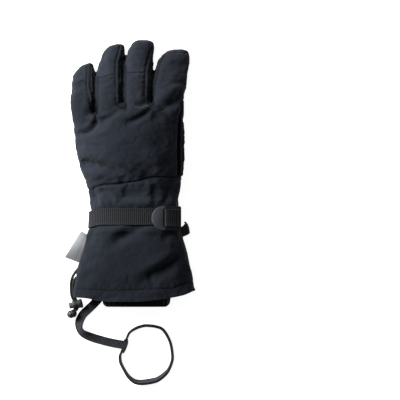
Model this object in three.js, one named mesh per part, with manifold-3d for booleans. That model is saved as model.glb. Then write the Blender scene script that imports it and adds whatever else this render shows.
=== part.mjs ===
import * as THREE from 'three';
import { mergeVertices } from 'three/addons/utils/BufferGeometryUtils.js';
import Module from 'manifold-3d';

// A padded ski glove for the left hand, palm down. X runs across the hand from the little finger to the
// index finger, Y from the hem of the cuff to the fingertips, and Z up. All sizes are millimetres.

const wasm = await Module();
wasm.setup();

// Lengths along the glove
const CUFF_LENGTH = 124;
const PALM_LENGTH = 84;
const KNUCKLE_Y = CUFF_LENGTH + PALM_LENGTH;

// Heights and thicknesses of the padded hand and cuff
const KNUCKLE_HEIGHT = 50;
const TIP_HEIGHT = 10.8;
const HAND_THICKNESS = 44;
const ARCH_DROP = 8;

// Walls and gaps
const CUFF_WALL = 3;
const HAND_WALL = 5;
const FINGER_WALL = 4.5;
const INNER_CUFF_WALL = 2;
const SEAM_GAP = 0.3;
const FINGER_GAP = 1;

// Fingers, from the little finger to the index finger, measured from the knuckle line. The rows of each
// table give the left and right edges as shares of the finger's width, measured from its middle line, and
// the thickness as a share of the finger's thickness. The seam rows give where the seams of the back run.
const FINGERS = [
  {
    name: 'little',
    length: 52.7,
    width: 26,
    thickness: 26,
    rows: [
      { along: -0.6, left: -0.22, right: 0.42, thick: 0.85 },
      { along: -0.35, left: -0.32, right: 0.46, thick: 1.0 },
      { along: -0.15, left: -0.41, right: 0.49, thick: 1.06 },
      { along: 0.06, left: -0.47, right: 0.49, thick: 1.05 },
      { along: 0.23, left: -0.5, right: 0.5, thick: 1.03 },
      { along: 0.56, left: -0.46, right: 0.5, thick: 1.0 },
      { along: 0.69, left: -0.43, right: 0.5, thick: 1.0 },
      { along: 0.77, left: -0.37, right: 0.5, thick: 0.98 },
      { along: 0.85, left: -0.25, right: 0.48, thick: 0.9 },
      { along: 0.93, left: -0.09, right: 0.43, thick: 0.74 },
      { along: 0.98, left: 0.1, right: 0.38, thick: 0.5 },
      { along: 1.0, left: 0.21, right: 0.33, thick: 0.3 },
    ],
    rightSeam: [
      { along: 0.13, across: 0.33 },
      { along: 0.52, across: 0.14 },
      { along: 0.94, across: 0.16 },
      { along: 1.2, across: 0.17 },
    ],
    crossSeam: [
      { along: 0.5, across: -0.7 },
      { along: 0.65, across: 0.14 },
    ],
  },
  {
    name: 'ring',
    length: 74.2,
    width: 30,
    thickness: 28,
    rows: [
      { along: -0.25, left: -0.4, right: 0.4, thick: 0.9 },
      { along: -0.1, left: -0.46, right: 0.45, thick: 1.04 },
      { along: 0.04, left: -0.47, right: 0.48, thick: 1.07 },
      { along: 0.16, left: -0.47, right: 0.49, thick: 1.06 },
      { along: 0.4, left: -0.48, right: 0.5, thick: 1.02 },
      { along: 0.57, left: -0.46, right: 0.52, thick: 1.0 },
      { along: 0.73, left: -0.33, right: 0.54, thick: 0.98 },
      { along: 0.81, left: -0.27, right: 0.56, thick: 0.95 },
      { along: 0.89, left: -0.18, right: 0.56, thick: 0.86 },
      { along: 0.94, left: -0.07, right: 0.55, thick: 0.72 },
      { along: 0.98, left: 0.09, right: 0.52, thick: 0.5 },
      { along: 1.0, left: 0.26, right: 0.44, thick: 0.3 },
    ],
    leftSeam: [
      { along: 0.0, across: -0.4 },
      { along: 0.3, across: -0.39 },
      { along: 0.5, across: -0.38 },
      { along: 0.64, across: -0.7 },
    ],
    rightSeam: [
      { along: 0.09, across: 0.26 },
      { along: 0.5, across: 0.22 },
      { along: 0.73, across: 0.23 },
      { along: 0.93, across: 0.36 },
      { along: 1.1, across: 0.44 },
    ],
    crossSeam: [
      { along: 0.47, across: -0.7 },
      { along: 0.54, across: 0.22 },
    ],
  },
  {
    name: 'middle',
    length: 78.4,
    width: 31,
    thickness: 29,
    rows: [
      { along: -0.13, left: -0.44, right: 0.42, thick: 0.92 },
      { along: -0.01, left: -0.46, right: 0.44, thick: 1.05 },
      { along: 0.08, left: -0.48, right: 0.45, thick: 1.07 },
      { along: 0.21, left: -0.49, right: 0.46, thick: 1.05 },
      { along: 0.43, left: -0.49, right: 0.5, thick: 1.02 },
      { along: 0.6, left: -0.48, right: 0.51, thick: 1.0 },
      { along: 0.76, left: -0.41, right: 0.53, thick: 0.98 },
      { along: 0.83, left: -0.36, right: 0.55, thick: 0.94 },
      { along: 0.9, left: -0.29, right: 0.55, thick: 0.84 },
      { along: 0.95, left: -0.22, right: 0.54, thick: 0.7 },
      { along: 0.98, left: -0.15, right: 0.48, thick: 0.52 },
      { along: 1.0, left: -0.06, right: 0.32, thick: 0.3 },
    ],
    leftSeam: [
      { along: 0.0, across: -0.4 },
      { along: 0.3, across: -0.41 },
      { along: 0.6, across: -0.4 },
      { along: 0.75, across: -0.7 },
    ],
    rightSeam: [
      { along: 0.14, across: 0.23 },
      { along: 0.56, across: 0.25 },
      { along: 0.77, across: 0.37 },
      { along: 0.9, across: 0.47 },
      { along: 1.05, across: 0.64 },
    ],
    crossSeam: [
      { along: 0.535, across: -0.4 },
      { along: 0.53, across: 0.25 },
    ],
  },
  {
    name: 'index',
    length: 68.3,
    width: 35,
    thickness: 30,
    rows: [
      { along: -0.21, left: -0.46, right: 0.42, thick: 0.92 },
      { along: -0.05, left: -0.5, right: 0.44, thick: 1.04 },
      { along: 0.1, left: -0.5, right: 0.46, thick: 1.06 },
      { along: 0.24, left: -0.5, right: 0.49, thick: 1.05 },
      { along: 0.5, left: -0.48, right: 0.55, thick: 1.02 },
      { along: 0.63, left: -0.45, right: 0.59, thick: 1.0 },
      { along: 0.79, left: -0.35, right: 0.63, thick: 0.97 },
      { along: 0.86, left: -0.26, right: 0.63, thick: 0.92 },
      { along: 0.92, left: -0.17, right: 0.61, thick: 0.8 },
      { along: 0.96, left: -0.09, right: 0.58, thick: 0.66 },
      { along: 0.985, left: 0.0, right: 0.54, thick: 0.48 },
      { along: 1.0, left: 0.13, right: 0.44, thick: 0.3 },
    ],
    leftSeam: [
      { along: 0.08, across: -0.44 },
      { along: 0.4, across: -0.4 },
      { along: 0.73, across: -0.3 },
      { along: 0.9, across: -0.13 },
      { along: 1.1, across: -0.05 },
    ],
    crossSeam: [
      { along: 0.925, across: -0.12 },
      { along: 0.944, across: 0.22 },
      { along: 0.915, across: 0.8 },
    ],
  },
];

// The hand is as wide as its four fingers side by side.
const HAND_WIDTH = FINGERS.reduce((sum, finger) => sum + finger.width + FINGER_GAP, -FINGER_GAP);

// The cuff and the hand: places along as shares of the cuff's or the palm's length, edges as shares of the
// hand's width, thickness as shares of the hand's thickness.
const CUFF_SECTIONS = [
  { along: -0.06, left: -0.472, right: 0.611, thick: 1.03 },
  { along: 0.03, left: -0.467, right: 0.605, thick: 1.05 },
  { along: 0.14, left: -0.464, right: 0.581, thick: 1.09 },
  { along: 0.25, left: -0.455, right: 0.559, thick: 1.12 },
  { along: 0.36, left: -0.424, right: 0.537, thick: 1.14 },
  { along: 0.48, left: -0.388, right: 0.506, thick: 1.13 },
  { along: 0.6, left: -0.354, right: 0.475, thick: 1.1 },
  { along: 0.69, left: -0.332, right: 0.446, thick: 0.98 },
  { along: 0.78, left: -0.326, right: 0.439, thick: 0.97 },
  { along: 0.88, left: -0.338, right: 0.441, thick: 1.0 },
  { along: 0.99, left: -0.361, right: 0.463, thick: 1.0 },
];
const HAND_SECTIONS = [
  { along: 0.09, left: -0.376, right: 0.473, thick: 1.0 },
  { along: 0.19, left: -0.404, right: 0.484, thick: 1.02 },
  { along: 0.3, left: -0.43, right: 0.491, thick: 1.03 },
  { along: 0.42, left: -0.45, right: 0.495, thick: 1.03 },
  { along: 0.55, left: -0.459, right: 0.498, thick: 1.01 },
  { along: 0.68, left: -0.467, right: 0.495, thick: 0.98 },
  { along: 0.8, left: -0.472, right: 0.488, thick: 0.96 },
  { along: 0.91, left: -0.48, right: 0.485, thick: 0.93 },
  { along: 0.99, left: -0.278, right: 0.483, thick: 0.88 },
  { along: 1.06, left: -0.269, right: 0.483, thick: 0.74 },
  { along: 1.1, left: -0.23, right: 0.466, thick: 0.5 },
];

// The height of the middle surface as a share of the knuckles' height, and how much of the arch across
// the knuckles it has. Along is a share of the length from the hem to the knuckles.
const LIFTS = [
  { along: -0.05, height: 0.44, arch: 0 },
  { along: 0.15, height: 0.47, arch: 0 },
  { along: 0.3, height: 0.49, arch: 0 },
  { along: 0.46, height: 0.49, arch: 0 },
  { along: 0.55, height: 0.52, arch: 0 },
  { along: 0.62, height: 0.6, arch: 0.15 },
  { along: 0.7, height: 0.72, arch: 0.4 },
  { along: 0.8, height: 0.86, arch: 0.75 },
  { along: 0.9, height: 0.96, arch: 0.95 },
  { along: 1.0, height: 1.0, arch: 1 },
];

// Folds of the back: from one point to another, across as shares of the hand's width from its middle line,
// up as shares of the length from the hem to the knuckles, with depth and reach in shares of FOLD_DEPTH
// and FOLD_REACH.
const FOLD_DEPTH = 2.5;
const FOLD_REACH = 6;
const FOLDS = [
  { across: -0.43, up: 0.883, toAcross: -0.3, toUp: 0.941, depth: 1.0, reach: 0.8 },
  { across: -0.25, up: 0.957, toAcross: -0.1, toUp: 1.018, depth: 1.0, reach: 0.8 },
  { across: 0.06, up: 0.957, toAcross: 0.2, toUp: 1.03, depth: 1.2, reach: 0.9 },
  { across: 0.27, up: 1.026, toAcross: 0.46, toUp: 1.11, depth: 1.0, reach: 1.0 },
  { across: -0.41, up: 0.725, toAcross: -0.05, toUp: 0.677, depth: 1.0, reach: 1.1 },
  { across: -0.13, up: 0.323, toAcross: 0.12, toUp: 0.381, depth: 0.8, reach: 1.1 },
  { across: 0.17, up: 0.118, toAcross: 0.43, toUp: 0.208, depth: 0.9, reach: 1.3 },
];

// The thumb lies under the palm. Its rows give its place along the palm, its edges as shares of its width
// from its middle line, and its middle height and thickness as shares of its thickness.
const THUMB_WIDTH = 31;
const THUMB_THICKNESS = 26;
const THUMB_WALL = 4.5;
const THUMB_MIDDLE = 37;
const THUMB_ROWS = [
  { along: 0.15, left: -0.38, right: 0.42, height: 0.95, thick: 0.75 },
  { along: 0.28, left: -0.46, right: 0.52, height: 0.66, thick: 1.04 },
  { along: 0.43, left: -0.5, right: 0.52, height: 0.51, thick: 1.0 },
  { along: 0.58, left: -0.54, right: 0.45, height: 0.49, thick: 0.97 },
  { along: 0.74, left: -0.63, right: 0.33, height: 0.48, thick: 0.95 },
  { along: 0.9, left: -0.73, right: 0.21, height: 0.47, thick: 0.92 },
  { along: 1.02, left: -0.79, right: 0.09, height: 0.46, thick: 0.84 },
  { along: 1.1, left: -0.76, right: -0.02, height: 0.44, thick: 0.66 },
  { along: 1.14, left: -0.66, right: -0.16, height: 0.42, thick: 0.4 },
];

// Seams and edges seen from above: across as shares of the hand's width, up in shares of the cuff's
// length for the hem, and of the palm's length from the wrist for the others.
const WIDE = 0.9;
const HEM_EDGE = [
  { across: -WIDE, up: 0.03 },
  { across: -0.38, up: 0.018 },
  { across: -0.25, up: -0.007 },
  { across: -0.09, up: -0.012 },
  { across: 0.07, up: -0.013 },
  { across: 0.21, up: -0.002 },
  { across: 0.36, up: 0.018 },
  { across: 0.49, up: 0.044 },
  { across: 0.6, up: 0.09 },
  { across: WIDE, up: 0.17 },
];
const HEM_SEAM = [
  { across: -WIDE, up: 0.11 },
  { across: -0.38, up: 0.098 },
  { across: -0.19, up: 0.085 },
  { across: 0.07, up: 0.089 },
  { across: 0.4, up: 0.106 },
  { across: 0.6, up: 0.175 },
  { across: WIDE, up: 0.25 },
];
const WRIST_SEAM = [
  { across: -WIDE, up: -0.04 },
  { across: -0.32, up: -0.035 },
  { across: -0.29, up: 0.0 },
  { across: -0.21, up: 0.03 },
  { across: -0.1, up: 0.04 },
  { across: 0.02, up: 0.065 },
  { across: 0.1, up: 0.08 },
  { across: 0.18, up: 0.117 },
  { across: 0.27, up: 0.13 },
  { across: WIDE, up: 0.135 },
];
const SIDE_SEAM = [
  { across: 0.44, up: -0.3 },
  { across: 0.44, up: 0.5 },
  { across: 0.445, up: 0.88 },
  { across: 0.47, up: 1.12 },
  { across: WIDE, up: 1.6 },
];
const FINGER_FRONT_SEAM = 0.16;
const CROTCHES = [
  { across: -0.285, up: 0.87 },
  { across: -0.078, up: 1.03 },
  { across: 0.19, up: 1.03 },
];

// The inner cuff band, a soft tube sewn to the inside of the gauntlet
const INNER_CUFF_WIDTH = 73;
const INNER_CUFF_THICKNESS = 28;
const INNER_CUFF_MIDDLE = 9;
const INNER_CUFF_OUT = 7.5;
const INNER_CUFF_IN = 76;

// The wrist strap of ribbed webbing and its ladder buckle
const WEBBING_WIDTH = 18.7;
const WEBBING_THICKNESS = 1.8;
const STRAP_MIDDLE_Y = 91.9;
const BUCKLE_LENGTH = 34;
const BUCKLE_WIDTH = 26;
const BUCKLE_THICKNESS = 3;
const BUCKLE_CORNER = 3;
const BUCKLE_BEVEL = 0.6;
const BUCKLE_TAB = 12.5;
const BUCKLE_SLOT = 3.2;
const BUCKLE_END_BAR = 2.2;
const BUCKLE_ACROSS = 0.33;
const BUCKLE_TILT_DEG = -22;
const BUCKLE_LIFT = 3.2;

// The plain side label, and the moulded side clip with its hook leaf
const LABEL_LENGTH = 33;
const LABEL_TOP_OUT = 7;
const LABEL_LOW_OUT = 15.5;
const LABEL_THICKNESS = 0.9;
const LABEL_LOW_Y = 40;
const CLIP_LENGTH = 11;
const CLIP_OUT = 4.2;
const CLIP_THICKNESS = 6;
const CLIP_LOW_Y = 69.5;
const LEAF_WIDTH = 4.5;
const LEAF_THICKNESS = 2.2;
const LEAF_REACH = 6.5;

// The hem drawcord with its lock, button and moulded end
const DRAWCORD_DIAMETER = 3.1;
const LOCK_RADIUS = 5.2;
const LOCK_LENGTH = 11;
const LOCK_WALL = 1.4;
const BUTTON_OUT = 4.4;
const BUTTON_IN = 6.2;
const BUTTON_TRAVEL = 2.5;
const CORD_END_RADIUS = 5;

// The wrist leash of flat tape
const TAPE_WIDTH = 9.5;
const TAPE_THICKNESS = 2.2;
const LOOP_TAPE_THICKNESS = 2.8;
const TAPE_LIFT = 0.2;
const JOIN_THICKNESS = 4.4;

// Routes of the cords, chosen by hand, in millimetres from the middle of the hand and the hem. Roll is the
// turn of the tape about its own line in degrees: 0 lies flat and 90 stands on edge.
const DRAWCORD_UPPER = [
  [-58.1, 31.4, 22],
  [-61.4, 25, 18.5],
  [-63.1, 18.5, 15],
  [-63.2, 10.5, 11],
  [-62.2, 4.5, 7.8],
  [-59.6, 0.5, 5.8],
];
const DRAWCORD_LOWER = [
  [-59.7, 18.8, 18.6],
  [-60.4, 12.5, 14],
  [-60, 6.5, 10.3],
  [-57.8, 2.9, 7.4],
  [-56.2, 1.5, 6],
];
const CORD_LOCK_PLACE = [-55.7, -4.7, 5.3];
const CORD_LOCK_TURN_DEG = 193;
const CORD_END_PLACE = [-61.8, -15.9, 5.1];
const LEASH_STRAP = [
  { x: -30.5, y: 4, z: 8.6, roll: 0 },
  { x: -34.4, y: -1.1, z: 8.4, roll: 0 },
  { x: -38.8, y: -5.6, z: 5.8, roll: 0 },
  { x: -44.2, y: -10.8, z: 1.8, roll: 0 },
  { x: -49, y: -16.5, z: 0, roll: 0 },
  { x: -52.8, y: -24.5, z: 0, roll: 25 },
  { x: -53.4, y: -31.5, z: 0, roll: 80 },
  { x: -50.2, y: -36.5, z: 0, roll: 130 },
  { x: -41.5, y: -41, z: 0, roll: 180 },
  { x: -30, y: -44.6, z: 0, roll: 180 },
  { x: -18, y: -47.6, z: 0, roll: 180 },
  { x: -6.6, y: -49.6, z: 0, roll: 180 },
];
const LEASH_JOIN = [
  { x: -2.6, y: -43.6 },
  { x: -2.4, y: -47.5 },
  { x: -4.4, y: -53.5 },
  { x: -6.8, y: -58 },
];
const LEASH_LOOP = [
  { x: -1.7, y: -42.4, roll: 90 },
  { x: 1.5, y: -36.3, roll: 90 },
  { x: 8.5, y: -31.5, roll: 90 },
  { x: 17, y: -28.8, roll: 90 },
  { x: 23.2, y: -28.7, roll: 90 },
  { x: 30.6, y: -29.7, roll: 90 },
  { x: 37.5, y: -32.3, roll: 90 },
  { x: 42.7, y: -39.2, roll: 90 },
  { x: 46.6, y: -48.1, roll: 90 },
  { x: 48.5, y: -58.6, roll: 90 },
  { x: 48.5, y: -66.6, roll: 90 },
  { x: 45.3, y: -75.5, roll: 84 },
  { x: 40.6, y: -81.7, roll: 76 },
  { x: 32.7, y: -87.6, roll: 70 },
  { x: 24.9, y: -89.9, roll: 66 },
  { x: 13.8, y: -91.2, roll: 68 },
  { x: 6.4, y: -89.7, roll: 74 },
  { x: 0.1, y: -84.4, roll: 82 },
  { x: -4.6, y: -77, roll: 90 },
  { x: -8.4, y: -69.1, roll: 90 },
  { x: -9.1, y: -62.3, roll: 90 },
  { x: -8, y: -59.4, roll: 90 },
];

// How finely the surfaces are divided
const BODY_SIDES = 26;
const CAVITY_SIDES = 16;
const FINGER_SIDES = 14;
const FINGER_CAVITY_SIDES = 8;
const SURFACE_COLUMNS = 6;
const CORD_SIDES = 8;
const ROUND_SIDES = 14;
const CORNER_STEPS = 5;
const LEAF_STEPS = 8;
const DRAWCORD_STEPS = 7;
const LEASH_STRAP_STEPS = 24;
const LEASH_JOIN_STEPS = 4;
const LEASH_LOOP_STEPS = 38;
const SHARPNESS = 2.4;
const SMALLEST_HALF = 2.5;
const CUT_DEPTH = 300;
const MERGE_DISTANCE = 1e-4;

/** Reads a column of a table at a place along it, straight between the rows. */
function read(rows, name, at) {
  const next = rows.findIndex((row) => row.along >= at);
  if (next === 0) {
    return rows[0][name];
  }
  if (next < 0) {
    return rows[rows.length - 1][name];
  }
  const [low, high] = [rows[next - 1], rows[next]];
  return THREE.MathUtils.mapLinear(at, low.along, high.along, low[name], high[name]);
}

/** The middle lines of the fingers across the hand, side by side from the little finger. */
function placeFingers() {
  let edge = -HAND_WIDTH / 2;
  for (const finger of FINGERS) {
    finger.middle = edge + finger.width / 2;
    edge += finger.width + FINGER_GAP;
  }
}
placeFingers();

/** How far the fingers reach past the knuckles, at a place across the hand. */
function fingerReach(x) {
  const rows = FINGERS.map((finger) => ({ along: finger.middle, length: finger.length }));
  return read(rows, 'length', x);
}

/** The height of the glove's middle surface: rising from the cuff to the knuckles, then down the fingers. */
function restHeight(x, y) {
  const share = Math.min(y / KNUCKLE_Y, 1);
  const side = (2 * x) / HAND_WIDTH;
  const drop = ARCH_DROP * read(LIFTS, 'arch', share) * side * side;
  const height = KNUCKLE_HEIGHT * read(LIFTS, 'height', share) - drop;
  const curl = THREE.MathUtils.smoothstep(y - KNUCKLE_Y, 0, fingerReach(x));
  return THREE.MathUtils.lerp(height, TIP_HEIGHT, curl);
}

/** How far the back is pressed in by the folds at a place. */
function foldDepth(x, y) {
  const place = new THREE.Vector3(x, y, 0);
  let depth = 0;
  for (const fold of FOLDS) {
    const start = new THREE.Vector3(fold.across * HAND_WIDTH, fold.up * KNUCKLE_Y, 0);
    const end = new THREE.Vector3(fold.toAcross * HAND_WIDTH, fold.toUp * KNUCKLE_Y, 0);
    const nearest = new THREE.Line3(start, end).closestPointToPoint(place, true, new THREE.Vector3());
    const away = nearest.distanceTo(place) / (fold.reach * FOLD_REACH);
    depth = Math.max(depth, fold.depth * FOLD_DEPTH * Math.exp(-away * away));
  }
  return depth;
}

/** A closed surface through rings of points, with a fan over each end, as a BufferGeometry. */
function loft(rings) {
  const sides = rings[0].length;
  const positions = rings.flat().flatMap((point) => [point.x, point.y, point.z]);
  const faces = [];
  const ends = [rings[0], rings[rings.length - 1]];
  for (const end of ends) {
    const middle = end.reduce((sum, point) => sum.add(point), new THREE.Vector3()).divideScalar(sides);
    positions.push(middle.x, middle.y, middle.z);
  }
  const firstMiddle = rings.length * sides;
  const lastRing = (rings.length - 1) * sides;
  for (let side = 0; side < sides; side += 1) {
    const next = (side + 1) % sides;
    faces.push(firstMiddle, side, next);
    faces.push(firstMiddle + 1, lastRing + next, lastRing + side);
    for (let ring = 0; ring < rings.length - 1; ring += 1) {
      const here = ring * sides;
      const there = here + sides;
      faces.push(here + side, there + side, there + next);
      faces.push(here + side, there + next, here + next);
    }
  }
  const geometry = new THREE.BufferGeometry();
  geometry.setAttribute('position', new THREE.Float32BufferAttribute(positions, 3));
  geometry.setIndex(facingOut(positions, faces));
  return geometry;
}

/** The faces in the order in which they point out of the volume. */
function facingOut(positions, faces) {
  const corner = (at) => new THREE.Vector3().fromArray(positions, 3 * faces[at]);
  let volume = 0;
  for (let at = 0; at < faces.length; at += 3) {
    volume += corner(at).dot(corner(at + 1).cross(corner(at + 2)));
  }
  return volume > 0 ? faces : faces.reverse();
}

/** A closed geometry as a solid that can be joined and cut. */
function solid(geometry) {
  const bare = new THREE.BufferGeometry();
  bare.setAttribute('position', geometry.getAttribute('position').clone());
  bare.setIndex(geometry.getIndex());
  const merged = mergeVertices(bare, MERGE_DISTANCE);
  const mesh = new wasm.Mesh({
    numProp: 3,
    vertProperties: new Float32Array(merged.getAttribute('position').array),
    triVerts: new Uint32Array(merged.getIndex().array),
  });
  return new wasm.Manifold(mesh);
}

/** A solid as a geometry: its largest body, without the crumbs that a cut leaves beside it. */
function surface(cut) {
  const bodies = cut.decompose().sort((a, b) => b.volume() - a.volume());
  const mesh = bodies[0].getMesh();
  const geometry = new THREE.BufferGeometry();
  geometry.setAttribute('position', new THREE.BufferAttribute(mesh.vertProperties, 3));
  geometry.setIndex(new THREE.BufferAttribute(mesh.triVerts, 1));
  geometry.computeVertexNormals();
  return geometry;
}

/** A ring across the glove at one place, blown out or drawn in, and flattened where it meets the surface. */
function ring({ y, left, right, thick, middle }, grow, sides) {
  const halfWide = (right - left) / 2 + grow;
  const halfThick = thick / 2 + grow;
  const floor = Math.max(0, -grow);
  const points = [];
  for (let side = 0; side < sides; side += 1) {
    const turn = (2 * Math.PI * side) / sides;
    const [across, up] = [Math.cos(turn), Math.sin(turn)].map(
      (value) => Math.sign(value) * Math.abs(value) ** (2 / SHARPNESS),
    );
    const x = (left + right) / 2 + halfWide * across;
    const pressed = Math.max(up, 0) * foldDepth(x, y) * (grow < 0 ? 0 : 1);
    const height = middle ?? restHeight(x, y);
    points.push(new THREE.Vector3(x, y, Math.max(height + halfThick * up - pressed, floor)));
  }
  return points;
}

/** The rings of a padded tube, drawn in by the wall where it is a cavity. */
function tube(rows, sides, growOf) {
  const last = rows[rows.length - 1].y;
  const kept = rows.filter((row) => {
    const grow = growOf(row);
    const half = Math.min(row.right - row.left, row.thick) / 2 + grow;
    return half > SMALLEST_HALF / 2 && row.y <= last + Math.min(grow, 0);
  });
  return solid(loft(kept.map((row) => ring(row, growOf(row), sides))));
}

/** Every other row of a table, from the first, for the plainer surface inside. */
function everyOther(rows) {
  return rows.filter((_, at) => at % 2 === 0);
}

/** The rows of the cuff and the hand in millimetres. */
function bodyRows() {
  const sized = (row, start, length, wall) => ({
    y: start + row.along * length,
    left: row.left * HAND_WIDTH,
    right: row.right * HAND_WIDTH,
    thick: row.thick * HAND_THICKNESS,
    wall,
  });
  return [
    ...CUFF_SECTIONS.map((row) => sized(row, 0, CUFF_LENGTH, CUFF_WALL)),
    ...HAND_SECTIONS.map((row) => sized(row, CUFF_LENGTH, PALM_LENGTH, HAND_WALL)),
  ];
}
const BODY_ROWS = bodyRows();
const CAVITY_ROWS = everyOther(BODY_ROWS);

/** The row of the cuff and the hand at any height. */
function bodyRow(y) {
  const rows = BODY_ROWS.map((row) => ({ ...row, along: row.y }));
  const at = (name) => read(rows, name, y);
  return { y, left: at('left'), right: at('right'), thick: at('thick'), wall: at('wall') };
}

/** The rows of a finger in millimetres. */
function fingerRows(finger) {
  return finger.rows.map((row) => ({
    y: KNUCKLE_Y + row.along * finger.length,
    left: finger.middle + row.left * finger.width,
    right: finger.middle + row.right * finger.width,
    thick: row.thick * finger.thickness,
  }));
}

/** The rows of the thumb in millimetres. */
function thumbRows() {
  return THUMB_ROWS.map((row) => ({
    y: CUFF_LENGTH + row.along * PALM_LENGTH,
    left: THUMB_MIDDLE + row.left * THUMB_WIDTH,
    right: THUMB_MIDDLE + row.right * THUMB_WIDTH,
    thick: row.thick * THUMB_THICKNESS,
    middle: row.height * THUMB_THICKNESS,
  }));
}

/** An upright cut through the whole glove over an outline seen from above. */
function prism(outline) {
  const geometry = new THREE.ExtrudeGeometry(new THREE.Shape(outline), {
    depth: CUT_DEPTH,
    bevelEnabled: false,
  });
  geometry.translate(0, 0, -CUT_DEPTH / 2);
  geometry.deleteAttribute('normal');
  geometry.deleteAttribute('uv');
  return solid(mergeVertices(geometry, MERGE_DISTANCE));
}

/** A thin upright cut along a line seen from above, as wide as a seam's gap. */
function seamCut(line) {
  const sides = [1, -1].map((sign) =>
    line.map((point, at) => {
      const before = line[Math.max(at - 1, 0)];
      const after = line[Math.min(at + 1, line.length - 1)];
      const along = after.clone().sub(before).normalize();
      return new THREE.Vector2(-along.y, along.x).multiplyScalar((sign * SEAM_GAP) / 2).add(point);
    }),
  );
  return prism([...sides[0], ...sides[1].reverse()]);
}

/** The part of space above or below the glove's middle surface. */
function halfSpace(above) {
  const across = Array.from({ length: SURFACE_COLUMNS + 1 }, (_, at) =>
    THREE.MathUtils.mapLinear(at, 0, SURFACE_COLUMNS, -WIDE * HAND_WIDTH, WIDE * HAND_WIDTH),
  );
  const longest = Math.max(...FINGERS.map((finger) => finger.length));
  const places = [
    ...BODY_ROWS.filter((row) => row.y < KNUCKLE_Y).map((row) => row.y),
    ...FINGERS[2].rows.map((row) => KNUCKLE_Y + Math.max(row.along, 0) * longest),
  ];
  const ends = [-CUFF_LENGTH / 2, KNUCKLE_Y + 2 * longest];
  const sorted = [...new Set([...places, ...ends])].sort((a, b) => a - b);
  const sign = above ? 1 : -1;
  const rings = sorted.map((y) => [
    ...across.map((x) => new THREE.Vector3(x, y, restHeight(x, y) + (sign * SEAM_GAP) / 2)),
    ...across.map((x) => new THREE.Vector3(x, y, (sign * CUT_DEPTH) / 2)).reverse(),
  ]);
  return solid(loft(rings));
}

/** Points seen from above, from rows of shares of the hand's width and of a length past a start. */
function bodyLine(rows, start, length) {
  return rows.map(({ across, up }) => new THREE.Vector2(across * HAND_WIDTH, start + up * length));
}

/** Points seen from above, from rows of shares of a finger's width and length. */
function fingerLine(finger, rows) {
  return rows.map(
    ({ along, across }) =>
      new THREE.Vector2(finger.middle + across * finger.width, KNUCKLE_Y + along * finger.length),
  );
}

/** The outline of the strip between two fingers, from the crotch round both seams. */
function fourchetteLines(at) {
  const [crotch] = bodyLine([CROTCHES[at]], CUFF_LENGTH, PALM_LENGTH);
  const up = fingerLine(FINGERS[at], FINGERS[at].rightSeam);
  const down = fingerLine(FINGERS[at + 1], FINGERS[at + 1].leftSeam);
  return { left: [crotch, ...up], right: [crotch, ...down] };
}

/** The outline over a finger beyond its cross seam. */
function tipOutline(finger) {
  const seam = fingerLine(finger, finger.crossSeam);
  const far = KNUCKLE_Y + 2 * finger.length;
  const first = seam[0];
  const last = seam[seam.length - 1];
  const edge = finger.rightSeam ? fingerLine(finger, finger.rightSeam).filter((p) => p.y > last.y) : [];
  const end = edge.length ? edge[edge.length - 1] : last;
  return [...seam, ...edge, new THREE.Vector2(end.x, far), new THREE.Vector2(first.x, far)];
}

/** The line midway between a finger and the next one, from the front seam to past the fingertips. */
function dividingLine(at, far) {
  const near = fingerRows(FINGERS[at]).map((row) => ({ ...row, along: row.y }));
  const next = fingerRows(FINGERS[at + 1]).map((row) => ({ ...row, along: row.y }));
  const places = near.map((row) => row.y).filter((y) => y > KNUCKLE_Y);
  const line = places.map((y) => new THREE.Vector2((read(near, 'right', y) + read(next, 'left', y)) / 2, y));
  return [...line, new THREE.Vector2(line[line.length - 1].x, far)];
}

/** The outlines of the finger fronts seen from above, each from its front seam to past the fingertip. */
function frontOutlines(far) {
  const wide = WIDE * HAND_WIDTH;
  const edge = (x) => [new THREE.Vector2(x, KNUCKLE_Y), new THREE.Vector2(x, far)];
  const lines = [edge(-wide), ...CROTCHES.map((_, at) => dividingLine(at, far)), edge(wide)];
  return FINGERS.map((finger, at) => {
    const low = KNUCKLE_Y + FINGER_FRONT_SEAM * finger.length;
    const [left, right] = [lines[at], lines[at + 1]].map((line) => line.filter((point) => point.y > low));
    const corners = [left[0].x, right[0].x].map((x) => new THREE.Vector2(x, low));
    return [...corners, ...right, ...left.reverse()];
  });
}

/** A mesh with the colour and finish of one material. */
function piece(name, geometry, finish) {
  const mesh = new THREE.Mesh(geometry, new THREE.MeshStandardMaterial(finish));
  mesh.name = name;
  return mesh;
}

// Finishes
const SOFTSHELL = { color: 0x2d3038, roughness: 0.85, metalness: 0 };
const SIDE_CLOTH = { color: 0x17181c, roughness: 0.8, metalness: 0 };
const PALM_LEATHER = { color: 0x1b1b1d, roughness: 0.7, metalness: 0 };
const CUFF_LINING = { color: 0x0e0e10, roughness: 0.9, metalness: 0 };
const WEBBING = { color: 0x303236, roughness: 0.75, metalness: 0 };
const BLACK_PLASTIC = { color: 0x2a2a32, roughness: 0.4, metalness: 0 };
const GREY_PLASTIC = { color: 0x75767a, roughness: 0.5, metalness: 0 };
const SILVER_LABEL = { color: 0xc4c7ca, roughness: 0.45, metalness: 0.2 };
const CORD_CLOTH = { color: 0x141416, roughness: 0.8, metalness: 0 };

/** The padded shell of the hand and cuff, and the outer form that other pieces seat against. */
function gloveShell() {
  const outer = tube(BODY_ROWS, BODY_SIDES, () => 0);
  const cavity = tube(CAVITY_ROWS, CAVITY_SIDES, (row) => -row.wall);
  const fingers = FINGERS.map((finger) => {
    const rows = fingerRows(finger);
    return {
      outer: tube(rows, FINGER_SIDES, () => 0),
      cavity: tube(everyOther(rows), FINGER_CAVITY_SIDES, () => -FINGER_WALL),
    };
  });
  const whole = fingers.reduce((sum, finger) => sum.add(finger.outer), outer);
  const hollow = fingers.reduce((sum, finger) => sum.add(finger.cavity), cavity);
  return whole.subtract(hollow);
}

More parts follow.
